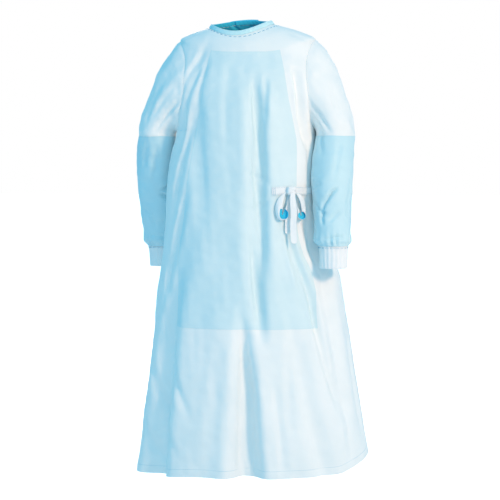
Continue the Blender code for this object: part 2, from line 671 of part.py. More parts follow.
def on_the_tie(across, up, outward):
    """Points beside and below the knot, measured outwards from the tie or the cloth under them."""
    place, right, rise, out = knot_frame()
    angles = np.radians(np.linspace(*UNDER_BOW, UNDER_BOW_STEPS))
    stand = []
    for step, drop in zip(across, up):
        surface = body_surface(angles, np.full(len(angles), BELT_HEIGHT + drop)) - place
        sideways = surface @ right
        near = np.abs(sideways - step) < TAIL_HALF_WIDTH
        stand.append((surface @ out)[near].max())
    reach = np.array(stand) + 2 * GAP + OVERLAY + TAPE + outward
    return place + across[:, None] * right + up[:, None] * rise + reach[:, None] * out


def curve_through(points, count):
    """Points of a smooth curve through the given ones, evenly spaced along them."""
    points = np.array(points, float)
    run = np.concatenate([[0], np.cumsum(np.linalg.norm(np.diff(points, axis=0), axis=1))])
    at = np.linspace(0, run[-1], count + 1)
    return np.stack([smooth(at, run, points[:, i]) for i in range(points.shape[1])], axis=-1)


def rounded(value):
    """A cosine or sine drawn towards a box's, for a form with rounded corners."""
    return np.sign(value) * np.abs(value) ** KNOT_ROUNDNESS


def add_knot():
    """The knot of the bow, a wrap of the tie with rounded corners."""
    _, right, up, out = knot_frame()
    centre = on_the_tie(np.zeros(1), np.zeros(1), np.full(1, KNOT_STANDOFF))[0]
    half_x, half_z, half_y = KNOT_SIZE
    around = np.linspace(0, 2 * np.pi, KNOT_SIDES, endpoint=False)
    rings = []
    for level in np.radians(KNOT_LEVELS):
        size = rounded(np.cos(level))
        across = rounded(np.cos(around))[:, None] * right * half_x * size
        outward = rounded(np.sin(around))[:, None] * out * half_y * size
        rings.append(centre + across + outward + up * rounded(np.sin(level)) * half_z)
    add_piece("bow_knot", swept_mesh(np.array(rings)), TIE_CLOTH)


def add_loop(name, route):
    """One loop of the bow: a band on edge that narrows towards the viewer, like a petal."""
    flat = curve_through(route, LOOP_SEGMENTS)
    along = unit(np.gradient(flat, axis=0))
    side = np.stack([along[:, 1], -along[:, 0]], axis=-1)
    side = side * np.sign(np.sum(side * (flat - flat.mean(0))))
    swell = np.sin(np.linspace(0, np.pi, len(flat)))[:, None]
    corners = []
    for depth, shift in ((0.0, 0.0), (1.0, 0.0), (1.0, TAPE), (0.0, TAPE)):
        edge = dict(zip(LOOP_COLUMNS, (flat - side * (LOOP_FLARE * depth * swell + shift)).T))
        outward = np.full(len(flat), LOOP_BACK + LOOP_DEPTH * depth)
        corners.append(on_the_tie(edge["right"], edge["up"], outward))
    add_piece(name, swept_mesh(np.stack(corners, axis=1)), TIE_CLOTH)


def add_tail(name, route):
    """One hanging end of the tie, with a rounded tip."""
    _, right, _, out = knot_frame()
    length = np.linalg.norm(np.array(route)[-1, :2] - np.array(route)[0, :2])
    tip = np.radians(np.linspace(0, TIP_DEGREES, TIP_SEGMENTS + 1))
    shares = np.concatenate([
        np.linspace(0, 1 - TAIL_HALF_WIDTH / length, TAIL_SEGMENTS + 1)[:-1],
        1 - TAIL_HALF_WIDTH / length * (1 - np.sin(tip)),
    ])
    half = TAIL_HALF_WIDTH * np.concatenate([np.ones(TAIL_SEGMENTS), np.cos(tip)])
    samples = curve_through(route, TAIL_SAMPLES)[np.round(shares * TAIL_SAMPLES).astype(int)]
    line = dict(zip(TAIL_COLUMNS, samples.T))
    points = on_the_tie(line["right"], line["up"], line["out"])
    corners = []
    for across, thick in ((-1, 0), (1, 0), (1, 1), (-1, 1)):
        corners.append(points + right * half[:, None] * across + out * TAPE * thick)
    add_piece(name, swept_mesh(np.stack(corners, axis=1)), TIE_CLOTH)


def main():
    """Build every piece of the gown."""
    for piece in list(bpy.data.objects):
        bpy.data.objects.remove(piece, do_unlink=True)
    bpy.context.scene.collection.objects.link(bpy.data.objects.new("gown", None))
    add_body()
    add_sleeve("right", 1)
    add_sleeve("left", -1)
    add_neck_binding()
    add_neck_fastener()
    add_belt()
    add_knot()
    add_loop("bow_loop_left", LOOP_LEFT)
    add_loop("bow_loop_right", LOOP_RIGHT)
    add_tail("tail_front", TAIL_FRONT)
    add_tail("tail_back", TAIL_BACK)


main()
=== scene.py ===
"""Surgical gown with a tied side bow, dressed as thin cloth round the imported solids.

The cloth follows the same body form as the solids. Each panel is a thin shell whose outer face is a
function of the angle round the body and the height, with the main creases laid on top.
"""

import logging
from dataclasses import dataclass
from enum import Enum

import bpy
import numpy as np
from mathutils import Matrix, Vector


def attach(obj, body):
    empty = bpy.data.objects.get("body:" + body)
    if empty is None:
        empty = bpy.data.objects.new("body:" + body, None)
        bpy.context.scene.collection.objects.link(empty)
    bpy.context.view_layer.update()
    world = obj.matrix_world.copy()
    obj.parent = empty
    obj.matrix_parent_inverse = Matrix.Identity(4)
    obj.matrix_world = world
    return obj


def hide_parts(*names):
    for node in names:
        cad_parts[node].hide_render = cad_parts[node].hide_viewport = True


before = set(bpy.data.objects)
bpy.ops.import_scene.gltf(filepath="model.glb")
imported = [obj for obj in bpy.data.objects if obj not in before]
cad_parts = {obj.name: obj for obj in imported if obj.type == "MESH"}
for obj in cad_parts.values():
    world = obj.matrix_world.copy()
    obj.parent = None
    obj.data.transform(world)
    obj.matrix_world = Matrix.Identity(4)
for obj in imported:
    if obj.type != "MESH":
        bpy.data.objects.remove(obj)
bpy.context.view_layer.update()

LOG = logging.getLogger("gown")
Array = np.ndarray

# Thickness of the cloths and the tape, and the gaps between layers and at the seams
CLOTH = 0.0006
LAYER = 0.0005
TAPE = 0.0008
GAP = 0.0003
SEAM_GAP = 0.0002

# Edges that stay crisp, and the least length that a vector is divided by
SHARP_DEGREES = 55
SHORTEST = 1e-12


class Side(Enum):
    """The two sides of the gown as the viewer sees them."""

    RIGHT = 1
    LEFT = -1

    @property
    def word(self) -> str:
        """The side's name as the nodes spell it."""
        return self.name.lower()


class Weave(Enum):
    """The surface patterns of the gown's cloths."""

    NONWOVEN = "nonwoven"
    KNIT = "knit"
    WOVEN = "woven"
    THREAD = "thread"


@dataclass(frozen=True)
class Table:
    """Rows of measures under named columns, the first of which is the key."""

    columns: tuple[str, ...]
    rows: tuple[tuple[float, ...], ...]

    def column(self, name: str) -> Array:
        """One named column."""
        return np.array([row[self.columns.index(name)] for row in self.rows], float)

    def read(self, at: Array, name: str) -> Array:
        """A named column at any key, on a cubic that never overshoots its rows.

        Args:
            at: keys to read at.
            name: the column.

        Returns:
            The values, held constant past both ends.
        """
        return smooth(np.asarray(at, float), self.column(self.columns[0]), self.column(name))


def smooth(at: Array, keys: Array, values: Array) -> Array:
    """A Hermite cubic whose slopes are the harmonic mean of both neighbours' slopes.

    Args:
        at: keys to read at.
        keys: rising or falling keys of the known values.
        values: the known values.

    Returns:
        The values at the keys.
    """
    if keys[0] > keys[-1]:
        keys, values = keys[::-1], values[::-1]
    step = np.diff(keys)
    rise = np.diff(values) / step
    slope = np.zeros_like(values)
    same = rise[:-1] * rise[1:] > 0
    total = np.where(same, rise[:-1] + rise[1:], 1.0)
    slope[1:-1] = np.where(same, 2 * rise[:-1] * rise[1:] / total, 0.0)
    slope[0], slope[-1] = rise[0], rise[-1]
    at = np.clip(at, keys[0], keys[-1])
    i = np.clip(np.searchsorted(keys, at) - 1, 0, len(step) - 1)
    t = (at - keys[i]) / step[i]
    ends = values[i] * (1 + 2 * t) * (1 - t) ** 2 + values[i + 1] * t * t * (3 - 2 * t)
    return ends + step[i] * (slope[i] * t * (1 - t) ** 2 - slope[i + 1] * t * t * (1 - t))


def ease(value: Array, start: float, end: float) -> Array:
    """0 before start, 1 past end, and 3t squared less 2t cubed between."""
    t = np.clip((np.asarray(value) - start) / (end - start), 0, 1)
    return t * t * (3 - 2 * t)


def unit(vectors: Array) -> Array:
    """Vectors of length one."""
    return vectors / np.maximum(np.linalg.norm(vectors, axis=-1, keepdims=True), SHORTEST)


def squared(value: Array, power: float) -> Array:
    """A cosine or sine drawn towards a box's: its sign times its size to a power below 1."""
    return np.sign(value) * np.abs(value) ** power


def distances(points: Array) -> Array:
    """The distance run along a line at each of its points."""
    return np.concatenate([[0], np.cumsum(np.linalg.norm(np.diff(points, axis=0), axis=1))])


def wrapped(angle: Array) -> Array:
    """An angle brought between minus and plus half a turn."""
    return (angle + np.pi) % (2 * np.pi) - np.pi


def grid_normals(grid: Array, around: bool = False) -> Array:
    """Unit normals of a grid of points, from the cross product of its two gradients.

    Args:
        grid: points, rows by columns by three.
        around: whether the columns close into a tube.

    Returns:
        The normals, with the same shape.
    """
    if around:
        across = np.roll(grid, -1, axis=1) - np.roll(grid, 1, axis=1)
    else:
        across = np.gradient(grid, axis=1)
    return unit(np.cross(across, np.gradient(grid, axis=0)))


def outward(grid: Array, normals: Array) -> Array:
    """Normals turned to point away from the middle of each row."""
    middle = grid.mean(axis=1, keepdims=True)
    return normals * np.sign(np.sum(normals * (grid - middle)))


@dataclass(frozen=True)
class Crumple:
    """Small uneven waves through space: a sum of sines along seeded directions."""

    seed: int
    height: float
    wavelengths: tuple[float, float]
    upright: float = 2.2
    waves: int = 18

    def __call__(self, points: Array) -> Array:
        """The wave's height at points: the mean of sines, times the height.

        Args:
            points: places, with x, y and z last.

        Returns:
            One height for each point.
        """
        draw = np.random.default_rng(self.seed)
        total = np.zeros(points.shape[:-1])
        for _ in range(self.waves):
            way = unit(draw.normal(size=3) * np.array([1.0, 1.0, 1.0 / self.upright]))
            length = draw.uniform(*self.wavelengths)
            total = total + np.sin(points @ way * 2 * np.pi / length + draw.uniform(0, 2 * np.pi))
        return total * self.height / np.sqrt(self.waves / 2)


CREASE_COLUMNS = ("from_turn", "from_height", "to_turn", "to_height", "width", "depth", "bow", "lean")


@dataclass(frozen=True)
class Creases:
    """Creases laid on a form, each a trough with a low ridge on both sides."""

    table: Table
    chart_radius: float
    ridge: float = 0.9
    start: tuple[float, float] = (-0.12, 0.28)
    end: tuple[float, float] = (0.68, 1.12)

    def __call__(self, turn: Array, level: Array, radius: Array) -> Array:
        """How far the creases move the cloth out, negative in a trough.

        Along a crease the depth rises and falls with two soft ramps. Across it the profile is
        (1 - ridge u squared) times e to the minus u squared, with u the distance over the width.

        Args:
            turn: angles round the form.
            level: heights.
            radius: distance from the form's middle.

        Returns:
            The move along the outward direction.
        """
        moved = np.zeros(np.broadcast(turn, level).shape)
        for row in self.table.rows:
            crease = dict(zip(self.table.columns, row))
            start, end = np.radians(crease["from_turn"]), np.radians(crease["to_turn"])
            run = wrapped(end - start) * self.chart_radius
            drop = crease["to_height"] - crease["from_height"]
            length = np.hypot(run, drop)
            middle = start + wrapped(end - start) / 2
            across = wrapped(turn - middle) * self.chart_radius + run / 2
            down = level - crease["from_height"]
            t = (across * run + down * drop) / length**2
            off = (across * drop - down * run) / length
            off = off + crease["bow"] * 4 * np.clip(t, 0, 1) * (1 - np.clip(t, 0, 1))
            off = off * (1 + (radius / self.chart_radius - 1) * abs(drop) / length)
            u = off / (crease["width"] * (1 + crease["lean"] * np.sign(off)))
            fade = ease(t, *self.start) * (1 - ease(t, *self.end))
            moved = moved - crease["depth"] * fade * (1 - self.ridge * u**2) * np.exp(-(u**2))
        return moved


@dataclass(frozen=True)
class BodyForm:
    """The filled-out body of the gown, as a surface over the angle round it and the height."""

    neck: float = 0.010
    shoulder: float = -0.027
    underarm: float = -0.265
    panel_hem: float = -0.771
    hem: float = -1.144
    swell: float = 0.022
    turn_front: float = 27.0
    turn_back: float = 22.0
    inner_edge: float = 254.0
    outer_edge: float = 306.0
    lift_start: float = 238.0
    lift_end: float = 248.0
    flap_lift: float = 0.0040
    neck_spread: float = 2.0
    body_spread: float = 6.0
    hem_lift_start: float = -0.772
    fold_fade: float = 0.090
    ridge_share: float = 1.2
    panel_widest: float = 0.75
    seam_dip: float = 0.0009
    seam_reach: float = 0.0038
    hem_band: float = 0.020
    hem_ease: float = 0.08
    crease_start: float = 0.020
    calm_reach: float = 0.060
    neck_waves: float = 0.25
    step: float = 1e-4
    sections: Table = Table(
        (
            "height", "centre", "right", "left", "front", "back", "square_front", "square_back",
            "drop", "rise", "tilt",
        ),
        (
            (0.010, -0.023, 0.091, 0.082, 0.080, 0.066, 2.00, 2.00, 0.030, 0.009, 0.004),
            (0.000, -0.003, 0.122, 0.127, 0.090, 0.078, 2.00, 2.00, 0.036, 0.006, 0.000),
            (-0.027, 0.000, 0.176, 0.181, 0.097, 0.090, 2.05, 2.00, 0.036, 0.003, 0.000),
            (-0.103, 0.000, 0.178, 0.186, 0.118, 0.109, 2.15, 2.00, 0.018, 0.000, 0.000),
            (-0.183, 0.000, 0.176, 0.189, 0.132, 0.118, 2.20, 2.00, 0.006, 0.000, 0.000),
            (-0.265, 0.000, 0.176, 0.191, 0.140, 0.122, 2.20, 1.90, 0.000, 0.000, 0.000),
            (-0.328, 0.000, 0.178, 0.205, 0.142, 0.122, 2.20, 1.85, 0.000, 0.000, 0.000),
            (-0.415, 0.000, 0.178, 0.216, 0.144, 0.127, 2.20, 1.85, 0.000, 0.000, 0.000),
            (-0.502, 0.000, 0.182, 0.222, 0.150, 0.136, 2.15, 1.85, 0.000, 0.000, 0.000),
            (-0.579, 0.000, 0.205, 0.229, 0.157, 0.147, 2.10, 1.90, 0.000, 0.000, 0.000),
            (-0.637, 0.000, 0.240, 0.236, 0.163, 0.156, 2.10, 2.00, 0.000, 0.000, 0.000),
            (-0.753, 0.000, 0.259, 0.249, 0.176, 0.172, 2.10, 2.05, 0.000, 0.000, 0.000),
            (-0.917, 0.000, 0.284, 0.270, 0.192, 0.190, 2.10, 2.05, 0.000, 0.000, 0.000),
            (-1.144, 0.000, 0.318, 0.300, 0.211, 0.210, 2.05, 2.05, 0.000, 0.000, 0.000),
        ),
    )
    hem_lifts: Table = Table(
        ("angle", "lift"),
        (
            (0, 0.033), (35, -0.004), (70, -0.004), (120, -0.006), (150, -0.018), (180, -0.022),
            (270, 0.000), (360, 0.033),
        ),
    )
    folds: Table = Table(
        (
            "top_angle", "top", "bottom_angle", "bottom", "top_width", "bottom_width",
            "top_depth", "bottom_depth",
        ),
        (
            (76, -0.145, 77, -0.830, 0.026, 0.032, 0.017, 0.011),
            (90, -0.714, 85, -1.254, 0.020, 0.056, 0.008, 0.048),
            (148, -0.600, 152, -1.254, 0.030, 0.056, 0.006, 0.044),
            (142, -0.097, 128, -0.540, 0.026, 0.030, 0.005, 0.006),
            (27, -0.425, 20, -1.042, 0.022, 0.030, 0.010, 0.010),
            (52, -0.733, 33, -1.216, 0.024, 0.036, 0.005, 0.014),
            (108, -0.868, 110, -1.254, 0.026, 0.040, 0.002, 0.003),
            (196, -0.540, 190, -1.254, 0.026, 0.042, 0.004, 0.018),
            (222, -0.289, 216, -1.254, 0.026, 0.048, 0.007, 0.026),
            (246, -0.618, 244, -1.254, 0.024, 0.040, 0.004, 0.016),
            (276, -0.232, 272, -1.254, 0.028, 0.050, 0.006, 0.024),
            (318, -0.405, 306, -1.254, 0.026, 0.046, 0.006, 0.022),
            (342, -0.675, 336, -1.254, 0.024, 0.040, 0.004, 0.016),
        ),
    )
    panel_edges: Table = Table(
        ("height", "half"),
        (
            (0.010, 0.078), (-0.027, 0.089), (-0.141, 0.108), (-0.257, 0.128), (-0.411, 0.150),
            (-0.565, 0.172), (-0.762, 0.200), (-1.144, 0.232),
        ),
    )
    creases: Creases = Creases(
        Table(
            CREASE_COLUMNS,
            (
                # Front, from the neck and shoulders down
                (142, -0.010, 156, -0.214, 0.012, 0.0055, 0.004, 0.2),
                (140, -0.070, 156, -0.340, 0.013, 0.0065, 0.006, -0.2),
                (136, -0.050, 139, -0.190, 0.010, 0.0028, -0.003, 0.1),
                (142, -0.220, 158, -0.500, 0.015, 0.0070, 0.006, 0.2),
                (144, -0.420, 160, -0.740, 0.016, 0.0075, 0.006, 0.2),
                (162, 0.004, 174, -0.034, 0.009, 0.0022, 0.002, 0.0),
                (24, 0.002, 14, -0.034, 0.009, 0.0022, -0.002, 0.0),
                (37, -0.090, 34, -0.215, 0.013, 0.0120, 0.002, 0.4),
                (35, -0.190, 25, -0.310, 0.014, 0.0125, 0.004, 0.4),
                (22, -0.250, 24, -0.400, 0.012, 0.0032, -0.004, 0.0),
                (108, -0.056, 106, -0.314, 0.018, 0.0026, 0.005, 0.2),
                # Long trough right of the centre
                (78, -0.130, 69, -0.420, 0.016, 0.0115, 0.006, 0.4),
                (79, -0.310, 72, -0.640, 0.016, 0.0120, -0.005, 0.4),
                (80, -0.540, 74, -0.790, 0.015, 0.0100, 0.004, 0.3),
                (64, -0.110, 68, -0.260, 0.010, 0.0050, 0.003, 0.0),
                # Pulls at the tie
                (60, -0.404, 88, -0.372, 0.009, 0.0026, 0.003, 0.1),
                (60, -0.432, 84, -0.470, 0.010, 0.0028, -0.004, 0.1),
                (40, -0.440, 36, -0.530, 0.009, 0.0034, 0.002, 0.0),
                (48, -0.455, 41, -0.690, 0.017, 0.0125, 0.006, 0.4),
                (44, -0.560, 33, -0.820, 0.017, 0.0120, -0.006, 0.4),
                (38, -0.500, 30, -0.680, 0.013, 0.0080, 0.004, 0.2),
                # Skirt
                (36, -0.700, 25, -0.980, 0.016, 0.0105, 0.007, 0.3),
                (18, -0.930, 20, -1.130, 0.015, 0.0045, 0.004, 0.0),
                (53, -0.786, 56, -1.070, 0.016, 0.0028, 0.005, 0.0),
                (66, -0.900, 62, -1.150, 0.014, 0.0040, -0.004, 0.2),
                (89, -0.770, 91, -1.160, 0.014, 0.0090, 0.003, 0.4),
                (86, -0.840, 80, -1.170, 0.018, 0.0145, 0.004, 0.4),
                (100, -0.840, 103, -1.130, 0.018, 0.0014, -0.004, 0.0),
                (118, -0.786, 122, -1.048, 0.018, 0.0014, 0.004, 0.0),
                (158, -0.722, 126, -1.000, 0.013, 0.0060, 0.010, 0.0),
                (166, -0.820, 134, -1.088, 0.013, 0.0060, 0.012, 0.0),
                (172, -0.930, 148, -1.130, 0.013, 0.0055, 0.008, 0.0),
                (160, -0.560, 150, -0.760, 0.014, 0.0036, 0.005, 0.0),
                # Viewer's left side, then the back
                (186, -0.300, 178, -0.560, 0.014, 0.0040, 0.004, 0.0),
                (190, -0.640, 184, -0.960, 0.016, 0.0050, -0.005, 0.2),
                (204, -0.070, 214, -0.260, 0.013, 0.0040, 0.005, 0.1),
                (216, -0.120, 222, -0.380, 0.014, 0.0046, -0.005, 0.2),
                (236, -0.060, 230, -0.240, 0.012, 0.0028, 0.003, 0.0),
                (212, -0.440, 204, -0.760, 0.016, 0.0050, 0.006, -0.2),
                (236, -0.500, 232, -0.860, 0.015, 0.0045, 0.005, 0.0),
                (206, -0.800, 200, -1.140, 0.016, 0.0055, -0.005, 0.2),
                (228, -0.880, 226, -1.150, 0.014, 0.0045, 0.004, 0.0),
                (262, -0.180, 258, -0.520, 0.015, 0.0040, 0.005, 0.2),
                (266, -0.600, 262, -0.960, 0.015, 0.0050, -0.005, 0.0),
                (286, -0.080, 280, -0.360, 0.013, 0.0034, 0.004, -0.2),
                (292, -0.440, 288, -0.800, 0.014, 0.0045, 0.005, 0.1),
                (284, -0.860, 282, -1.150, 0.015, 0.0055, 0.004, 0.2),
                (304, -0.034, 292, -0.100, 0.008, 0.0022, 0.002, 0.0),
                (322, -0.100, 330, -0.290, 0.013, 0.0044, 0.005, 0.1),
                (336, -0.180, 346, -0.380, 0.013, 0.0044, -0.004, 0.2),
                (312, -0.400, 336, -0.368, 0.010, 0.0026, 0.003, 0.0),
                (312, -0.440, 334, -0.500, 0.011, 0.0030, -0.003, 0.0),
                (326, -0.500, 322, -0.820, 0.016, 0.0050, 0.005, 0.2),
                (348, -0.450, 344, -0.760, 0.014, 0.0045, 0.004, 0.0),
                (354, -0.780, 350, -1.120, 0.015, 0.0050, -0.005, 0.1),
                (330, -0.900, 326, -1.140, 0.014, 0.0045, 0.004, 0.2),
                (8, -0.470, 6, -0.720, 0.013, 0.0040, 0.004, 0.1),
                (6, -0.800, 8, -1.100, 0.014, 0.0045, 0.004, 0.0),
            ),
        ),
        chart_radius=0.21,
    )
    waves: Crumple = Crumple(seed=11, height=0.0011, wavelengths=(0.070, 0.180))
    crumple: Crumple = Crumple(seed=29, height=0.00032, wavelengths=(0.022, 0.060), upright=1.6)

    def armhole_share(self, level: Array) -> Array:
        """0 at the shoulder point and above, 1 at the underarm and below."""
        return np.clip((self.shoulder - level) / (self.shoulder - self.underarm), 0, 1)

    def half(self, level: Array, side: Side) -> Array:
        """Half width on one side, with the armhole's sine squared swell."""
        swell = self.swell * np.sin(np.pi * self.armhole_share(level)) ** 2
        return self.sections.read(level, side.word) + swell

    def fold_depth(self, angle: Array, level: Array, radius: Array) -> Array:
        """How far the large folds move the cloth out, negative in a trough.

        Args:
            angle: angles round the body.
            level: heights.
            radius: distance from the body's middle.

        Returns:
            The change of the radius.
        """
        moved = np.zeros_like(radius)
        for row in self.folds.rows:
            fold = dict(zip(self.folds.columns, row))
            share = np.clip((fold["top"] - level) / (fold["top"] - fold["bottom"]), 0, 1)
            middle = np.radians(fold["top_angle"] + share * (fold["bottom_angle"] - fold["top_angle"]))
            width = fold["top_width"] + share * (fold["bottom_width"] - fold["top_width"])
            depth = fold["top_depth"] + share * (fold["bottom_depth"] - fold["top_depth"])
            fade = ease(-level, -fold["top"] - self.fold_fade / 2, -fold["top"] + self.fold_fade)
            fade = fade * (1 - ease(-level, -fold["bottom"] - self.fold_fade, -fold["bottom"]))
            across = wrapped(angle - middle) * radius / width
            moved = moved - depth * fade * (1 - self.ridge_share * across**2) * np.exp(-(across**2))
        return moved

    def base(self, angle: Array, level: Array) -> Array:
        """The plain form: a superellipse in polar form, with the large folds and the hem's line.

        Args:
            angle: 0 at the viewer's right side seam, a quarter turn at the front.
            level: heights at the side seams.

        Returns:
            Points of the cloth's outer face.
        """
        cos, sin = np.cos(angle), np.sin(angle)
        half = np.where(cos >= 0, self.half(level, Side.RIGHT), self.half(level, Side.LEFT))
        read = self.sections.read
        depth = np.where(sin >= 0, read(level, "front"), read(level, "back"))
        power = np.where(sin >= 0, read(level, "square_front"), read(level, "square_back"))
        radius = (np.abs(cos / half) ** power + np.abs(sin / depth) ** power) ** (-1 / power)
        radius = radius + self.fold_depth(angle, level, radius)
        below = ease(-level, -self.neck, -self.shoulder)
        spread = self.neck_spread + (self.body_spread - self.neck_spread) * below
        middle = 1 - np.abs(cos) ** spread
        shift = np.where(sin >= 0, -read(level, "drop"), read(level, "rise"))
        height = level + shift * middle + read(level, "tilt") * cos
        lift = self.hem_lifts.read(np.degrees(angle) % 360, "lift")
        height = height + lift * ease(-level, -self.hem_lift_start, -self.hem)
        return np.stack([read(level, "centre") + radius * cos, -radius * sin, height], axis=-1)

    def normals(self, angle: Array, level: Array) -> Array:
        """Outward directions of the plain form, from small steps along and down it.

        Args:
            angle: angles round the body.
            level: heights.

        Returns:
            Unit vectors, the cross product of the step up and the step along.
        """
        step = self.step
        along = self.base(angle + step, level) - self.base(angle - step, level)
        up = self.base(angle, level + step) - self.base(angle, np.maximum(level - step, self.hem))
        return unit(np.cross(up, along))

    def armhole_angle(self, level: Array, side: Side, front: bool) -> Array:
        """Angle of an armhole's oval edge at each height, or of the side seam where there is none.

        Args:
            level: heights.
            side: the armhole's side.
            front: whether to take its front edge.

        Returns:
            The seam's angle, moved by the turn times the root of 4 s (1 - s), with s the armhole's share.
        """
        share = self.armhole_share(level)
        turn = np.radians(self.turn_front if front else self.turn_back) * np.sqrt(4 * share * (1 - share))
        if front:
            return turn if side is Side.RIGHT else np.pi - turn
        return 2 * np.pi - turn if side is Side.RIGHT else np.pi + turn

    def seam_move(self, angle: Array, level: Array, radius: Array) -> Array:
        """The dip of the cloth along the side, shoulder and armhole seams.

        The dip is e to the minus squared distance over the reach, deepest at the seam.

        Args:
            angle: angles round the body.
            level: heights.
            radius: distance from the body's middle.

        Returns:
            The move along the outward direction.
        """
        moved = np.zeros_like(radius)
        for side in Side:
            seam = 0.0 if side is Side.RIGHT else np.pi
            edges = [wrapped(self.armhole_angle(level, side, front) - seam) for front in (True, False)]
            edge = np.abs(np.where(np.sin(angle) < 0, edges[1], edges[0]))
            off = (np.abs(wrapped(angle - seam)) - edge) * radius
            moved = moved - self.seam_dip * np.exp(-((off / self.seam_reach) ** 2))
        return moved

    def outer(self, angle: Array, level: Array, lift: Array | float = 0.0) -> Array:
        """The dressed outer face: the plain form moved along its outward directions.

        Args:
            angle: angles round the body.
            level: heights.
            lift: distance off the form.

        Returns:
            Points of the outer face.
        """
        angle, level = np.broadcast_arrays(angle, level)
        points = self.base(angle, level)
        radius = np.hypot(points[..., 0], points[..., 1])
        calm = self.neck_waves + (1 - self.neck_waves) * ease(-level, -self.neck, self.calm_reach)
        moved = self.creases(angle, level, radius) * ease(-level, -self.neck, self.crease_start)
        moved = moved + (self.waves(points) + self.crumple(points)) * calm
        moved = moved + self.seam_move(angle, level, radius)
        start, end = self.hem_band * (1 - self.hem_ease), self.hem_band * (1 + self.hem_ease)
        moved = moved + LAYER * (1 - ease(level - self.hem, start, end))
        return points + self.normals(angle, level) * (moved + lift)[..., None]

    def angle_at(self, x: Array, level: Array) -> Array:
        """Angle on the front half where the plain form reaches x from its centre line.

        Args:
            x: distances from the centre line.
            level: heights.

        Returns:
            The superellipse solved for its angle.
        """
        half = np.where(x >= 0, self.half(level, Side.RIGHT), self.half(level, Side.LEFT))
        power = self.sections.read(level, "square_front")
        share = np.clip(1 - np.abs(x / half) ** power, 0, 1) ** (1 / power)
        return np.arctan2(self.sections.read(level, "front") * share, x)

    def panel_edge(self, level: Array, side: Side) -> Array:
        """Angle of the front reinforcement's edge at each height.

        Args:
            level: heights.
            side: the edge's side.

        Returns:
            The angle at the panel's half width, which is held to a share of the body's.
        """
        widest = self.panel_widest * self.sections.read(level, side.word)
        half = np.minimum(self.panel_edges.read(level, "half"), widest)
        return self.angle_at(side.value * half, level)

    def lift_at(self, angle: Array) -> Array:
        """How far the outer back panel stands off the form, over the inner one."""
        return self.flap_lift * ease(np.degrees(angle), self.lift_start, self.lift_end)


@dataclass(frozen=True)
class Nodes:
    """The shader nodes of one material or world."""

    tree: bpy.types.NodeTree

    def fill(self, node: bpy.types.Node, inputs: dict[str, object]) -> None:
        """Set a node's inputs by name: a socket is linked, any other value is written.

        Args:
            node: the node.
            inputs: a value or another node's output for each input's name.
        """
        for name, value in inputs.items():
            if isinstance(value, bpy.types.NodeSocket):
                self.tree.links.new(value, node.inputs[name])
            else:
                node.inputs[name].default_value = value

    def add(self, kind: str, inputs: dict[str, object]) -> bpy.types.Node:
        """A new node of one kind with its inputs filled.

        Args:
            kind: the node's type.
            inputs: what its inputs take, by name.

        Returns:
            The node.
        """
        node = self.tree.nodes.new(kind)
        self.fill(node, inputs)
        return node


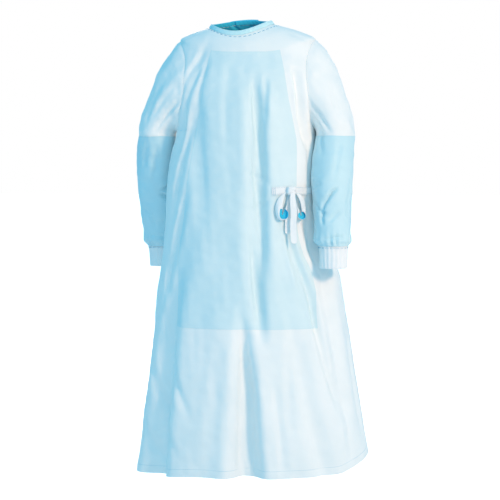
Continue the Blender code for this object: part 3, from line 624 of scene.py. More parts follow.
@dataclass(frozen=True)
class Finish:
    """A cloth or thread: two close tints, its gloss and its surface pattern."""

    name: str
    tint: tuple[float, float, float]
    shade: tuple[float, float, float]
    weave: Weave
    roughness: float = 0.62
    sheen: float = 0.25
    relief: float = 0.5
    cloud_scale: float = 14.0
    fibre_scale: float = 620.0
    bond_scale: float = 520.0
    course_scale: float = 190.0
    pick_scale: float = 300.0
    rumple_scale: float = 42.0
    fine_bump: tuple[float, float] = (0.30, 0.0004)
    weave_bump: tuple[float, float] = (0.55, 0.0004)
    rumple_bump: tuple[float, float] = (0.40, 0.0030)

    def material(self) -> bpy.types.Material:
        """The finish as a node material on Object coordinates.

        Returns:
            The new material, or the one made before under the same name.
        """
        if self.name in bpy.data.materials:
            return bpy.data.materials[self.name]
        material = bpy.data.materials.new(self.name)
        material.use_nodes = True
        nodes = Nodes(material.node_tree)
        place = nodes.add("ShaderNodeTexCoord", {}).outputs["Object"]
        cloud = nodes.add("ShaderNodeTexNoise", {"Vector": place, "Scale": self.cloud_scale, "Detail": 4.0})
        ramp = nodes.add("ShaderNodeValToRGB", {"Fac": cloud.outputs["Fac"]})
        for stop, position, colour in zip(ramp.color_ramp.elements, (0.35, 0.65), (self.shade, self.tint)):
            stop.position = position
            stop.color = (*colour, 1.0)
        surface = {
            "Base Color": ramp.outputs["Color"],
            "Roughness": self.roughness,
            "Sheen Weight": self.sheen,
            "Sheen Roughness": 0.45,
            "Specular IOR Level": 0.35,
            "Normal": self.relief_normal(nodes, place),
        }
        nodes.fill(material.node_tree.nodes["Principled BSDF"], surface)
        return material

    def relief_normal(self, nodes: Nodes, place: bpy.types.NodeSocket) -> bpy.types.NodeSocket:
        """The relief as chained bumps: fibres, then bonds, courses or picks, then soft rumples.

        Args:
            nodes: the material's nodes.
            place: its Object coordinates.

        Returns:
            The socket that gives the bumped normal.
        """
        fibres = {"Vector": place, "Scale": self.fibre_scale, "Detail": 3.0}
        height = nodes.add("ShaderNodeTexNoise", fibres).outputs["Fac"]
        normal = self.bump(nodes, height, self.fine_bump, {})
        if self.weave is Weave.NONWOVEN:
            bonds = {"Vector": place, "Scale": self.bond_scale}
            height = nodes.add("ShaderNodeTexVoronoi", bonds).outputs["Distance"]
        else:
            knit = self.weave is Weave.KNIT
            scale = self.course_scale if knit else self.pick_scale
            bands = {"Vector": place, "Scale": scale, "Distortion": 1.2, "Detail Scale": 1.5}
            pattern = nodes.add("ShaderNodeTexWave", bands)
            pattern.bands_direction = "Z" if knit else "DIAGONAL"
            height = pattern.outputs["Fac"]
        normal = self.bump(nodes, height, self.weave_bump, {"Normal": normal})
        rumples = {"Vector": place, "Scale": self.rumple_scale, "Detail": 5.0, "Roughness": 0.55}
        height = nodes.add("ShaderNodeTexNoise", rumples).outputs["Fac"]
        return self.bump(nodes, height, self.rumple_bump, {"Normal": normal})

    def bump(
        self,
        nodes: Nodes,
        height: bpy.types.NodeSocket,
        measures: tuple[float, float],
        before: dict[str, bpy.types.NodeSocket],
    ) -> bpy.types.NodeSocket:
        """One bump, whose strength is the given share of the finish's relief.

        Args:
            nodes: the material's nodes.
            height: the pattern's height.
            measures: the share of the relief, and the height of a full step.
            before: the normal of the bump below, under the name Normal, or nothing.

        Returns:
            The bumped normal.
        """
        share, distance = measures
        inputs = {"Height": height, "Strength": share * self.relief, "Distance": distance, **before}
        return nodes.add("ShaderNodeBump", inputs).outputs["Normal"]


@dataclass(frozen=True)
class Finishes:
    """Every cloth and thread of the gown."""

    white: Finish = Finish(
        "white_nonwoven", (0.87, 0.92, 0.925), (0.83, 0.895, 0.905), Weave.NONWOVEN
    )
    front: Finish = Finish(
        "aqua_front_nonwoven", (0.70, 0.86, 0.90), (0.66, 0.835, 0.88), Weave.NONWOVEN
    )
    sleeve: Finish = Finish(
        "blue_sleeve_nonwoven", (0.58, 0.82, 0.89), (0.54, 0.79, 0.87), Weave.NONWOVEN
    )
    # Painted shade: the inner faces of the cloth, the neck roll and the bow's loops are painted deep blue
    # to stand for the shade inside them.
    inside: Finish = Finish(
        "painted_shade_inside_nonwoven", (0.04, 0.62, 0.86), (0.03, 0.58, 0.83), Weave.NONWOVEN, 0.8, 0.0
    )
    knit: Finish = Finish(
        "white_rib_knit", (0.90, 0.93, 0.94), (0.86, 0.90, 0.92), Weave.KNIT, 0.85, 0.4, 0.9
    )
    # Painted shade: the white neck tape is tinted pale cyan to stand for the shade on it.
    binding: Finish = Finish(
        "painted_shade_neck_tape", (0.62, 0.90, 0.95), (0.55, 0.86, 0.92), Weave.WOVEN, 0.75, 0.1, 0.8
    )
    tie: Finish = Finish(
        "white_tie_tape", (0.87, 0.92, 0.94), (0.82, 0.89, 0.92), Weave.WOVEN, 0.75, 0.3, 0.8
    )
    thread: Finish = Finish(
        "blue_thread", (0.06, 0.42, 0.60), (0.05, 0.37, 0.55), Weave.THREAD, 0.6, 0.0, 0.5
    )


FINISH = Finishes()


def squares(index: Array) -> Array:
    """Four-sided faces over a grid of point numbers, one a row."""
    corners = (index[:-1, :-1], index[:-1, 1:], index[1:, 1:], index[1:, :-1])
    return np.stack(corners, axis=-1).reshape(-1, 4)


def wall_faces(rows: int, columns: int, around: bool) -> tuple[Array, Array, Array]:
    """Four-sided faces of a thin wall between an outer and an inner grid.

    Args:
        rows: rows of each grid.
        columns: columns of each grid.
        around: whether the columns close into a tube.

    Returns:
        The outer faces, the inner faces and the faces of the rim.
    """
    index = np.arange(rows * columns).reshape(rows, columns)
    if around:
        index = np.concatenate([index, index[:, :1]], axis=1)
        rims = [index[0], index[-1, ::-1]]
    else:
        rims = [np.concatenate([index[0], index[1:, -1], index[-1, -2::-1], index[-2::-1, 0]])]
    outer = squares(index)
    inner = outer[:, ::-1] + rows * columns
    below = [rim + rows * columns for rim in rims]
    edges = [
        np.stack([rim[:-1], low[:-1], low[1:], rim[1:]], axis=-1) for rim, low in zip(rims, below)
    ]
    return outer, inner, np.concatenate(edges)


def show(item: bpy.types.Object) -> None:
    """Link a new object into the scene."""
    bpy.context.scene.collection.objects.link(item)


def add_piece(
    name: str,
    points: Array,
    faces: Array,
    finishes: tuple[Finish, ...],
    marks: Array | None = None,
) -> bpy.types.Object:
    """A new piece from points and four-sided faces, with its faces pointing out.

    The faces are turned over where the volume, the sum of a times b cross c, is below nought.

    Args:
        name: the piece's name.
        points: its points, one a row.
        faces: its faces, four point numbers a row.
        finishes: its materials.
        marks: each face's material number, or none where all take the first.

    Returns:
        The piece, riding on the gown.
    """
    a, b, c, d = (points[faces[:, i]] for i in range(4))
    volume = np.sum(a * np.cross(b, c)) + np.sum(a * np.cross(c, d))
    if volume < 0:
        faces = faces[:, ::-1]
    mesh = bpy.data.meshes.new(name)
    mesh.from_pydata(points.tolist(), [], faces.tolist())
    for finish in finishes:
        mesh.materials.append(finish.material())
    if marks is not None:
        mesh.polygons.foreach_set("material_index", marks.astype(np.int32))
    mesh.shade_smooth()
    mesh.set_sharp_from_angle(angle=np.radians(SHARP_DEGREES))
    mesh.update()
    piece = bpy.data.objects.new(name, mesh)
    show(piece)
    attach(piece, "root")
    LOG.info("%s: %d faces", name, len(faces))
    return piece


def add_wall(
    name: str,
    grid: Array,
    thickness: float,
    finishes: tuple[Finish, ...],
    normals: Array,
    around: bool = False,
) -> bpy.types.Object:
    """A thin closed wall under a grid of outer points, each inner point a thickness below.

    Args:
        name: the piece's name.
        grid: outer points, rows by columns by three.
        thickness: the cloth's thickness.
        finishes: the outer face's material, and the inner one's where it differs.
        normals: outward directions.
        around: whether the columns close into a tube.

    Returns:
        The piece.
    """
    outer, inner, rim = wall_faces(*grid.shape[:2], around)
    points = np.concatenate([grid.reshape(-1, 3), (grid - normals * thickness).reshape(-1, 3)])
    faces = np.concatenate([outer, inner, rim])
    marks = np.zeros(len(faces))
    marks[len(outer) : len(outer) + len(inner)] = len(finishes) - 1
    return add_piece(name, points, faces, finishes, marks)


@dataclass(frozen=True)
class Stitch:
    """The stitches of a row, each a six-sided bead drawn out along its thread."""

    pitch: float
    length: float
    radius: float
    places: tuple[float, ...] = (-0.5, -0.36, 0.0, 0.36, 0.5)
    widths: tuple[float, ...] = (0.25, 0.85, 1.0, 0.85, 0.25)

    def lay(self, name: str, points: Array, along: Array, out: Array) -> None:
        """Stitches laid at given points.

        Args:
            name: the piece's name.
            points: the middle of each stitch, on the cloth.
            along: the direction of each thread.
            out: the outward direction at each stitch.
        """
        along, out = unit(along), unit(out)
        side = unit(np.cross(along, out))
        turn = np.linspace(0, 2 * np.pi, 6, endpoint=False)
        reach = self.radius * np.array(self.widths)[:, None]
        rings = (
            points[:, None, None]
            + along[:, None, None] * (self.length * np.array(self.places))[None, :, None, None]
            + side[:, None, None] * (reach * np.cos(turn))[None, :, :, None]
            + out[:, None, None] * (reach * np.sin(turn))[None, :, :, None]
        )
        ring = np.arange(len(self.places) * len(turn)).reshape(len(self.places), len(turn))
        tube = squares(np.concatenate([ring, ring[:, :1]], axis=1))
        caps = np.stack([ring[0, ::-1], ring[-1]])
        ends = caps[:, [[0, 1, 2, 3], [0, 3, 4, 5]]].reshape(-1, 4)
        pattern = np.concatenate([tube, ends])
        faces = (pattern[None] + (np.arange(len(points)) * ring.size)[:, None, None]).reshape(-1, 4)
        add_piece(name, rings.reshape(-1, 3), faces, (FINISH.thread,))

    def places_on(self, line: Array) -> tuple[Array, Array]:
        """Stitch places spaced evenly along a dense line.

        Args:
            line: points of the line.

        Returns:
            For each stitch, the index of the point before it and the share of the way to the next.
        """
        run = distances(line)
        at = np.arange(self.pitch / 2, run[-1], self.pitch)
        i = np.clip(np.searchsorted(run, at) - 1, 0, len(line) - 2)
        return i, (at - run[i]) / (run[i + 1] - run[i])

    def follow(self, name: str, line: Array, out: Array) -> None:
        """Stitches laid end to end along a line on the cloth.

        Args:
            name: the piece's name.
            line: points of the line.
            out: outward directions at them.
        """
        i, share = self.places_on(line)
        way = line[i + 1] - line[i]
        self.lay(name, line[i] + way * share[:, None], way, out[i])


@dataclass(frozen=True)
class BodyPanels:
    """The front, its second layer and the two lapped back panels."""

    form: BodyForm
    rows: int = 248
    front_columns: tuple[int, int, int] = (34, 96, 34)
    layer_rows: int = 170
    layer_columns: int = 104
    outer_columns: int = 112
    inner_columns: int = 92
    even_share: float = 0.72
    crowding: float = 2.2
    stitch: Stitch = Stitch(0.0052, 0.0036, 0.00032)
    edge_stitch_top: float = -0.02
    edge_stitch_inset: float = 4.0
    hem_points: int = 600
    edge_points: int = 900

    def levels(self) -> Array:
        """Heights of the rows, closer together at the neck and shoulders.

        Returns:
            Heights from the neck to the hem, by a share of t and the rest of t to a power.
        """
        share = np.linspace(0, 1, self.rows)
        share = self.even_share * share + (1 - self.even_share) * share**self.crowding
        return self.form.neck + share * (self.form.hem - self.form.neck)

    def grid(self, angles: Array, levels: Array, lift: Array | float = 0.0) -> tuple[Array, Array]:
        """A panel's outer points, with both side edges drawn in by half a seam gap.

        Args:
            angles: columns of angles, a row for each height.
            levels: heights.
            lift: distance off the form.

        Returns:
            The points and their outward directions.
        """
        grid = self.form.outer(angles, levels[:, None], lift)
        grid[:, 0] += unit(grid[:, 1] - grid[:, 0]) * SEAM_GAP / 2
        grid[:, -1] += unit(grid[:, -2] - grid[:, -1]) * SEAM_GAP / 2
        normals = grid_normals(grid)
        return grid, normals * np.sign(np.sum((normals * grid)[..., :2]))

    def spread(self, edges: list[Array], counts: tuple[int, ...]) -> Array:
        """Columns of angles between successive edges, evenly spaced in each stretch.

        Args:
            edges: an angle for each height, edge by edge.
            counts: how many columns each stretch takes.

        Returns:
            The angles, a row for each height.
        """
        parts = [edges[0][:, None]]
        for start, end, count in zip(edges[:-1], edges[1:], counts):
            share = np.arange(1, count + 1) / count
            parts.append(start[:, None] + (end - start)[:, None] * share)
        return np.concatenate(parts, axis=1)

    def add_panel(
        self, name: str, angles: Array, levels: Array, lift: Array | float = 0.0
    ) -> bpy.types.Object:
        """A white panel whose inner face is painted deep blue as shade.

        Args:
            name: the piece's name.
            angles: columns of angles, a row for each height.
            levels: heights.
            lift: distance off the form.

        Returns:
            The piece.
        """
        grid, normals = self.grid(angles, levels, lift)
        # The inner face takes the deep blue painted shade.
        return add_wall(name, grid, CLOTH, (FINISH.white, FINISH.inside), normals)

    def build_front(self) -> None:
        """The front panel, from armhole to armhole."""
        levels = self.levels()
        edges = [
            self.form.armhole_angle(levels, Side.RIGHT, True),
            self.form.panel_edge(levels, Side.RIGHT),
            self.form.panel_edge(levels, Side.LEFT),
            self.form.armhole_angle(levels, Side.LEFT, True),
        ]
        piece = self.add_panel("front_panel", self.spread(edges, self.front_columns), levels)
        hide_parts("front_body")

    def build_layer(self) -> None:
        """The aqua second layer on the front, made from the front's own surface."""
        share = np.linspace(0, 1, self.layer_rows)
        levels = self.form.shoulder + share * (self.form.panel_hem - self.form.shoulder)
        edges = [self.form.panel_edge(levels, Side.RIGHT), self.form.panel_edge(levels, Side.LEFT)]
        grid, normals = self.grid(self.spread(edges, (self.layer_columns,)), levels, GAP + LAYER)
        piece = add_wall("front_layer", grid, LAYER, (FINISH.front,), normals)
        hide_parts("front_reinforcement")

    def build_backs(self) -> None:
        """The outer back panel with its free edge, and the inner one under it."""
        levels = self.levels()
        outer_edge = np.full(len(levels), np.radians(self.form.outer_edge))
        edges = [self.form.armhole_angle(levels, Side.LEFT, False), outer_edge]
        angles = self.spread(edges, (self.outer_columns,))
        piece = self.add_panel("back_panel_outer", angles, levels, self.form.lift_at(angles))
        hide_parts("back_outer")
        inner_edge = np.full(len(levels), np.radians(self.form.inner_edge))
        edges = [inner_edge, self.form.armhole_angle(levels, Side.RIGHT, False)]
        piece = self.add_panel("back_panel_inner", self.spread(edges, (self.inner_columns,)), levels)
        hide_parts("back_inner")

    def stitch_line(self, name: str, angles: Array, level: Array, lifted: bool) -> None:
        """A row of stitches on the body.

        Args:
            name: the piece's name.
            angles: angles along the row, in degrees.
            level: heights along it.
            lifted: whether it lies on the outer back panel.
        """
        angles, level = np.broadcast_arrays(np.radians(angles), level)
        line = self.form.outer(angles, level, self.form.lift_at(angles) if lifted else 0.0)
        self.stitch.follow(name, line, self.form.normals(angles, level))

    def build_stitches(self) -> None:
        """The stitched hem of all three panels, and the free edge of the outer back panel."""
        level = self.form.hem + self.form.hem_band
        hems = (("front", 1, 179, False), ("back_outer", 181, 305, True), ("back_inner", 308, 359, False))
        for word, start, end, lifted in hems:
            angles = np.linspace(start, end, self.hem_points)
            self.stitch_line("hem_stitches_" + word, angles, level, lifted)
        levels = np.linspace(self.edge_stitch_top, level, self.edge_points)
        self.stitch_line("free_edge_stitches", self.form.outer_edge - self.edge_stitch_inset, levels, True)

    def build(self) -> None:
        """All the panels of the body."""
        self.build_front()
        self.build_layer()
        self.build_backs()
        self.build_stitches()


SLEEVE_COLUMNS = ("height", "x", "y", "half_x", "half_y")


@dataclass(frozen=True)
class Sleeve:
    """A set-in sleeve, its second layer and its rib knit cuff."""

    form: BodyForm
    side: Side
    sections: Table
    creases: Creases
    cuff_top: float
    seed: int
    panel_top: float = -0.275
    layer_start: int = 1
    cap_slope: float = 0.55
    cap_reach: float = 0.58
    armhole_steps: int = 48
    cap_rows: int = 44
    tube_rows: int = 82
    waves: tuple[float, tuple[float, float], float] = (0.0011, (0.045, 0.110), 1.4)
    crumple: tuple[float, tuple[float, float], float] = (0.00035, (0.016, 0.040), 1.2)
    calm_reach: float = 0.020
    head_gathers: int = 17
    head_sway: float = 1.3
    head_depth: float = 0.0008
    head_reach: float = 0.022
    head_seam: float = 0.004
    wrist_gathers: int = 19
    wrist_sway: float = 1.6
    wrist_slant: float = 9.0
    wrist_uneven: float = 0.35
    wrist_depth: float = 0.0034
    wrist_reach: float = 0.030
    wrist_seam: float = 0.006
    wrist_calm: float = 0.7
    wrist_stitch: Stitch = Stitch(0.0046, 0.0042, 0.00030)
    wrist_stitch_lift: float = 0.0002
    wrist_row: int = -4
    cuff_length: float = 0.057
    cuff_overlap: float = 0.0015
    cuff_trim: float = 0.0012
    cuff_wall: float = 0.0016
    cuff_inset: float = 0.0009
    cuff_rows: int = 30
    cuff_ribs: int = 20
    rib_columns: int = 12
    rib_height: float = 0.0010
    rib_sharpness: float = 2.2
    rib_sway: float = 0.25
    groove_depth: float = 0.16
    groove_width: float = 0.18
    edge_roll: float = 0.0016
    tuck_reach: float = 0.05
    roll_reach: float = 0.035
    waist: float = 0.0010
    waist_uneven: float = 0.0004

    def measure(self, level: Array, name: str) -> Array:
        """One measure of the sleeve's section at a height."""
        return self.sections.read(level, name)

    def ring(self, level: Array, turn: Array, grow: Array | float = 0.0) -> Array:
        """Level ellipses round the sleeve, from its outer side over the front.

        Args:
            level: heights.
            turn: angles round the sleeve.
            grow: how much both half sizes grow.

        Returns:
            Points of the rings.
        """
        across = (self.measure(level, "half_x") + grow) * np.cos(turn) * self.side.value
        forward = (self.measure(level, "half_y") + grow) * np.sin(turn)
        x = self.measure(level, "x") + across
        y = self.measure(level, "y") - forward
        return np.stack([x, y, np.broadcast_to(level, x.shape)], axis=-1)

    def rim(self) -> Array:
        """Points round the armhole's edge, a seam gap away from the body.

        Returns:
            The points, from the shoulder down the front edge and up the back one.
        """
        share = (1 - np.cos(np.linspace(0, np.pi, self.armhole_steps + 1))) / 2
        rows = self.form.shoulder + share * (self.form.underarm - self.form.shoulder)
        levels = np.concatenate([rows, rows[-2:0:-1]])
        front = self.form.armhole_angle(rows, self.side, True)
        back = self.form.armhole_angle(rows, self.side, False)
        angles = np.concatenate([front, back[-2:0:-1]])
        points = self.form.outer(angles, levels)
        normals = self.form.normals(angles, levels)
        away = unit(np.cross(np.roll(points, -1, axis=0) - np.roll(points, 1, axis=0), normals))
        return points + away * np.sign(away[0, 0] * self.side.value) * SEAM_GAP

    def grid(self) -> Array:
        """Outer points of the sleeve: a Hermite cap from the armhole, then level rings.

        Returns:
            The dressed points, a row for each ring.
        """
        rim = self.rim()
        steps = np.linalg.norm(np.roll(rim, -1, axis=0) - rim, axis=1)
        turn = 2 * np.pi * np.concatenate([[0], np.cumsum(steps)[:-1]]) / steps.sum()
        target = self.ring(np.full(len(turn), self.panel_top), turn)
        reach = np.linalg.norm(target - rim, axis=1, keepdims=True) * self.cap_reach
        slope = -self.cap_slope * np.clip(np.cos(turn), 0, 1) ** 2
        leave = np.stack([np.full(len(turn), float(self.side.value)), np.zeros(len(turn)), slope], axis=-1)
        leave = unit(leave) * reach
        arrive = np.array([0.0, 0.0, -1.0]) * reach
        t = np.linspace(0, 1, self.cap_rows)[:, None, None]
        cap = rim * (1 + 2 * t) * (1 - t) ** 2 + target * t * t * (3 - 2 * t)
        cap = cap + leave * t * (1 - t) ** 2 - arrive * t * t * (1 - t)
        rows = np.linspace(self.panel_top, self.cuff_top, self.tube_rows)[1:]
        tube = self.ring(rows[:, None], turn[None, :])
        return self.dressed(np.concatenate([cap, tube]), turn)

    def dressed(self, grid: Array, turn: Array) -> Array:
        """The grid with its creases, small waves and gathers.

        The gathers are cosines whose spacing sways, at the head over e to the minus squared run
        from the seam, at the wrist over e to the minus squared height above the cuff.

        Args:
            grid: plain points.
            turn: the angle of each column.

        Returns:
            The moved points.
        """
        normals = outward(grid, grid_normals(grid, around=True))
        level = grid[..., 2]
        turns = np.broadcast_to(turn, level.shape)
        moved = self.creases(turns, level, np.full(level.shape, self.creases.chart_radius))
        moved = moved + Crumple(self.seed, *self.waves)(grid) + Crumple(self.seed + 1, *self.crumple)(grid)
        steps = np.linalg.norm(np.diff(grid, axis=0), axis=-1)
        run = np.concatenate([np.zeros((1, grid.shape[1])), np.cumsum(steps, axis=0)])
        head = np.exp(-((run / self.head_reach) ** 2)) * ease(run, 0.0, self.head_seam)
        lumps = np.cos(self.head_gathers * turns + self.head_sway * np.sin(3 * turns + self.seed))
        moved = moved * ease(run, 0.0, self.calm_reach) + self.head_depth * head * lumps
        near = np.exp(-(((level - self.cuff_top) / self.wrist_reach) ** 2))
        sway = self.wrist_sway * np.sin(2 * turns + self.seed)
        folds = np.cos(self.wrist_gathers * turns + sway + self.wrist_slant * level)
        uneven = 1 - self.wrist_uneven + self.wrist_uneven * np.cos(5 * turns + self.seed)
        seam = ease(level, self.cuff_top, self.cuff_top + self.wrist_seam)
        gathers = self.wrist_depth * near * seam * (folds - 0.5) * uneven
        return grid + normals * (moved * (1 - self.wrist_calm * near) + gathers)[..., None]

    def build_cloth(self) -> None:
        """The sleeve and its second layer, made from the sleeve's own points."""
        grid = self.grid()
        normals = outward(grid, grid_normals(grid, around=True))
        word = self.side.word
        # The inner face takes the deep blue painted shade.
        finishes = (FINISH.white, FINISH.inside)
        piece = add_wall("sleeve_cloth_" + word, grid, CLOTH, finishes, normals, True)
        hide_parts("sleeve_" + word)
        first = self.cap_rows - 1 + self.layer_start
        lower = normals[first:]
        lifted = grid[first:] + lower * (GAP + LAYER)
        finishes = (FINISH.sleeve,)
        piece = add_wall("sleeve_layer_" + word, lifted, LAYER, finishes, lower, True)
        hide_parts("sleeve_reinforcement_" + word)
        self.build_wrist_stitches(grid[self.wrist_row], normals[self.wrist_row])

    def build_wrist_stitches(self, line: Array, out: Array) -> None:
        """The overlocked cuff seam, as short upright stitches round the sleeve's end.

        Args:
            line: points round the sleeve just above its end.
            out: outward directions at them.
        """
        line = np.concatenate([line, line[:1]])
        out = np.concatenate([out, out[:1]])
        i, _ = self.wrist_stitch.places_on(line)
        level = self.cuff_top - self.wrist_stitch.length
        forward = self.measure(level, "y") - line[i, 1]
        turn = np.arctan2(forward, (line[i, 0] - self.measure(level, "x")) * self.side.value)
        points = self.ring(np.full(len(turn), level), turn, grow=self.wrist_stitch_lift)
        along = np.broadcast_to(np.array([0.0, 0.0, 1.0]), points.shape)
        self.wrist_stitch.lay("cuff_seam_stitches_" + self.side.word, points, along, out[i])

    def build_cuff(self) -> None:
        """The rib knit cuff: raised ribs that draw in at the seam and roll in at the free edge.

        A rib is half of 1 plus the hyperbolic tangent of a cosine, less a groove along its top.
        """
        down = np.linspace(0, 1, self.cuff_rows)[:, None]
        level = self.cuff_top + self.cuff_overlap - down * (self.cuff_length + self.cuff_trim)
        turn = np.linspace(0, 2 * np.pi, self.cuff_ribs * self.rib_columns, endpoint=False)[None, :]
        phase = self.cuff_ribs * turn + self.rib_sway * np.sin(7 * down + 3 * turn)
        groove = self.groove_depth * np.exp(-((np.sin(phase / 2) / self.groove_width) ** 2))
        rib = np.tanh(self.rib_sharpness * np.cos(phase)) * 0.5 + 0.5 - groove
        tuck = -self.edge_roll * np.exp(-((down / self.tuck_reach) ** 2))
        roll = -self.edge_roll * np.exp(-(((1 - down) / self.roll_reach) ** 2))
        waist = self.waist_uneven * np.sin(3 * turn + 5 * down) - self.waist * np.sin(np.pi * down)
        grid = self.ring(level, turn, self.rib_height * rib + tuck + roll + waist - self.cuff_inset)
        normals = outward(grid, grid_normals(grid, around=True))
        word = self.side.word
        piece = add_wall("rib_cuff_" + word, grid, self.cuff_wall, (FINISH.knit,), normals, True)
        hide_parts("cuff_" + word)

    def build(self) -> None:
        """The sleeve's cloth and cuff."""
        self.build_cloth()
        self.build_cuff()


@dataclass(frozen=True)
class NeckBinding:
    """The rolled binding round the neck, its stitches and the tab that closes it at the back."""

    form: BodyForm
    height: float = 0.0125
    standoff: float = 0.0002
    half_thickness: float = 0.0016
    tilt: float = 0.7
    samples: int = 420
    # Faces turned further round than this look into the neck and are painted deep blue as shade.
    profile_points: int = 20
    profile_degrees: tuple[float, float] = (-78, 258)
    profile_squareness: tuple[float, float] = (0.8, 0.7)
    gather: float = 0.45
    gather_lean: float = 0.35
    gather_softness: float = 0.6
    painted_shade_past: float = -0.25
    stitch: Stitch = Stitch(0.0130, 0.0085, 0.00070)
    stitch_drop: float = 0.0024
    stitch_inset: float = 3.0
    stitch_end: float = -50.0
    stitch_points: int = 900
    tab_degrees: tuple[float, float] = (291.5, 323.5)
    tab_step: tuple[float, float] = (303.5, 309.5)
    tab_columns: int = 60
    tab_rows: int = 15
    tab_tip: float = 5.0
    tab_bluntness: float = 0.35
    tab_half: float = 0.0085
    tab_height: float = -0.0130

    def path(self) -> tuple[Array, Array, Array]:
        """The neckline from one back panel's edge to the other's.

        Returns:
            Points, outward directions and standing directions.
        """
        angles = np.radians(np.linspace(self.form.outer_edge, self.form.inner_edge - 360, self.samples))
        level = np.full(len(angles), self.form.neck)
        normals = self.form.normals(angles, level)
        points = self.form.outer(angles, level, self.form.lift_at(angles))
        rise = unit(np.cross(unit(np.gradient(points, axis=0)), normals))
        stand = unit(rise * np.sign(rise[:, 2:]) + self.tilt * np.array([0.0, 0.0, 1.0]))
        out = unit(normals - np.sum(normals * stand, axis=1, keepdims=True) * stand)
        return points, out, stand

    def build_roll(self) -> None:
        """The binding: a flattened round profile carried along the neckline, with small puckers.

        A pucker swells the profile by the gather times a soft sine of the run over the stitch
        pitch. The faces that look into the neck are painted deep blue with the inner finish, as shade.
        """
        points, out, stand = self.path()
        turn = np.radians(np.linspace(*self.profile_degrees, self.profile_points))
        up = squared(np.sin(turn), self.profile_squareness[0])
        side = squared(np.cos(turn), self.profile_squareness[1])
        cells = distances(points)[:, None] / self.stitch.pitch - self.gather_lean * np.sin(turn)[None, :]
        softness = self.gather_softness
        pucker = 1 + self.gather * (np.abs(np.sin(np.pi * cells)) ** softness - softness)
        middle = self.height / 2
        rise = (middle + self.standoff + up * middle)[None, :, None]
        reach = (side[None, :] * self.half_thickness * pucker - CLOTH / 2)[:, :, None]
        grid = points[:, None] + stand[:, None] * rise + out[:, None] * reach
        normals = outward(grid, grid_normals(grid))
        piece = add_wall("neck_roll", grid, CLOTH, (FINISH.binding, FINISH.inside), normals)
        # Faces that look into the neck take the deep blue painted shade.
        inward = np.cos((turn[:-1] + turn[1:]) / 2) < self.painted_shade_past
        marks = np.zeros(len(piece.data.polygons), np.int32)
        piece.data.polygons.foreach_get("material_index", marks)
        marks[: len(inward) * (len(points) - 1)] = np.tile(inward, len(points) - 1)
        piece.data.polygons.foreach_set("material_index", marks)
        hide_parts("neck_binding")

    def build_stitches(self) -> None:
        """The dashed stitches just under the binding."""
        first = self.form.outer_edge - self.stitch_inset
        angles = np.radians(np.linspace(first, self.stitch_end, self.stitch_points))
        level = np.full(len(angles), self.form.neck - self.stitch_drop)
        line = self.form.outer(angles, level, self.form.lift_at(angles))
        self.stitch.follow("neck_stitches", line, self.form.normals(angles, level))

    def build_tab(self) -> None:
        """The closing tab: a strip over the outer back panel's edge, with rounded ends."""
        angles = np.radians(np.linspace(*self.tab_degrees, self.tab_columns))[None, :]
        across = np.linspace(-1, 1, self.tab_rows)[:, None]
        column = np.arange(self.tab_columns)
        end = np.minimum(column, column[::-1]) / self.tab_tip
        half = self.tab_half * np.sqrt(1 - (1 - np.clip(end + self.tab_bluntness, 0, 1)) ** 2)
        level = self.tab_height - across * half[None, :]
        off = self.form.flap_lift * (1 - ease(np.degrees(angles), *self.tab_step))
        grid = self.form.outer(angles, level, off + GAP + TAPE)
        normals = self.form.normals(angles, level)
        piece = add_wall("neck_tab", grid, TAPE, (FINISH.tie,), normals)
        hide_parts("neck_fastener")

    def build(self) -> None:
        """The binding, its stitches and the tab."""
        self.build_roll()
        self.build_stitches()
        self.build_tab()


LOOP_COLUMNS = ("right", "up")
TAIL_COLUMNS = ("right", "up", "out")


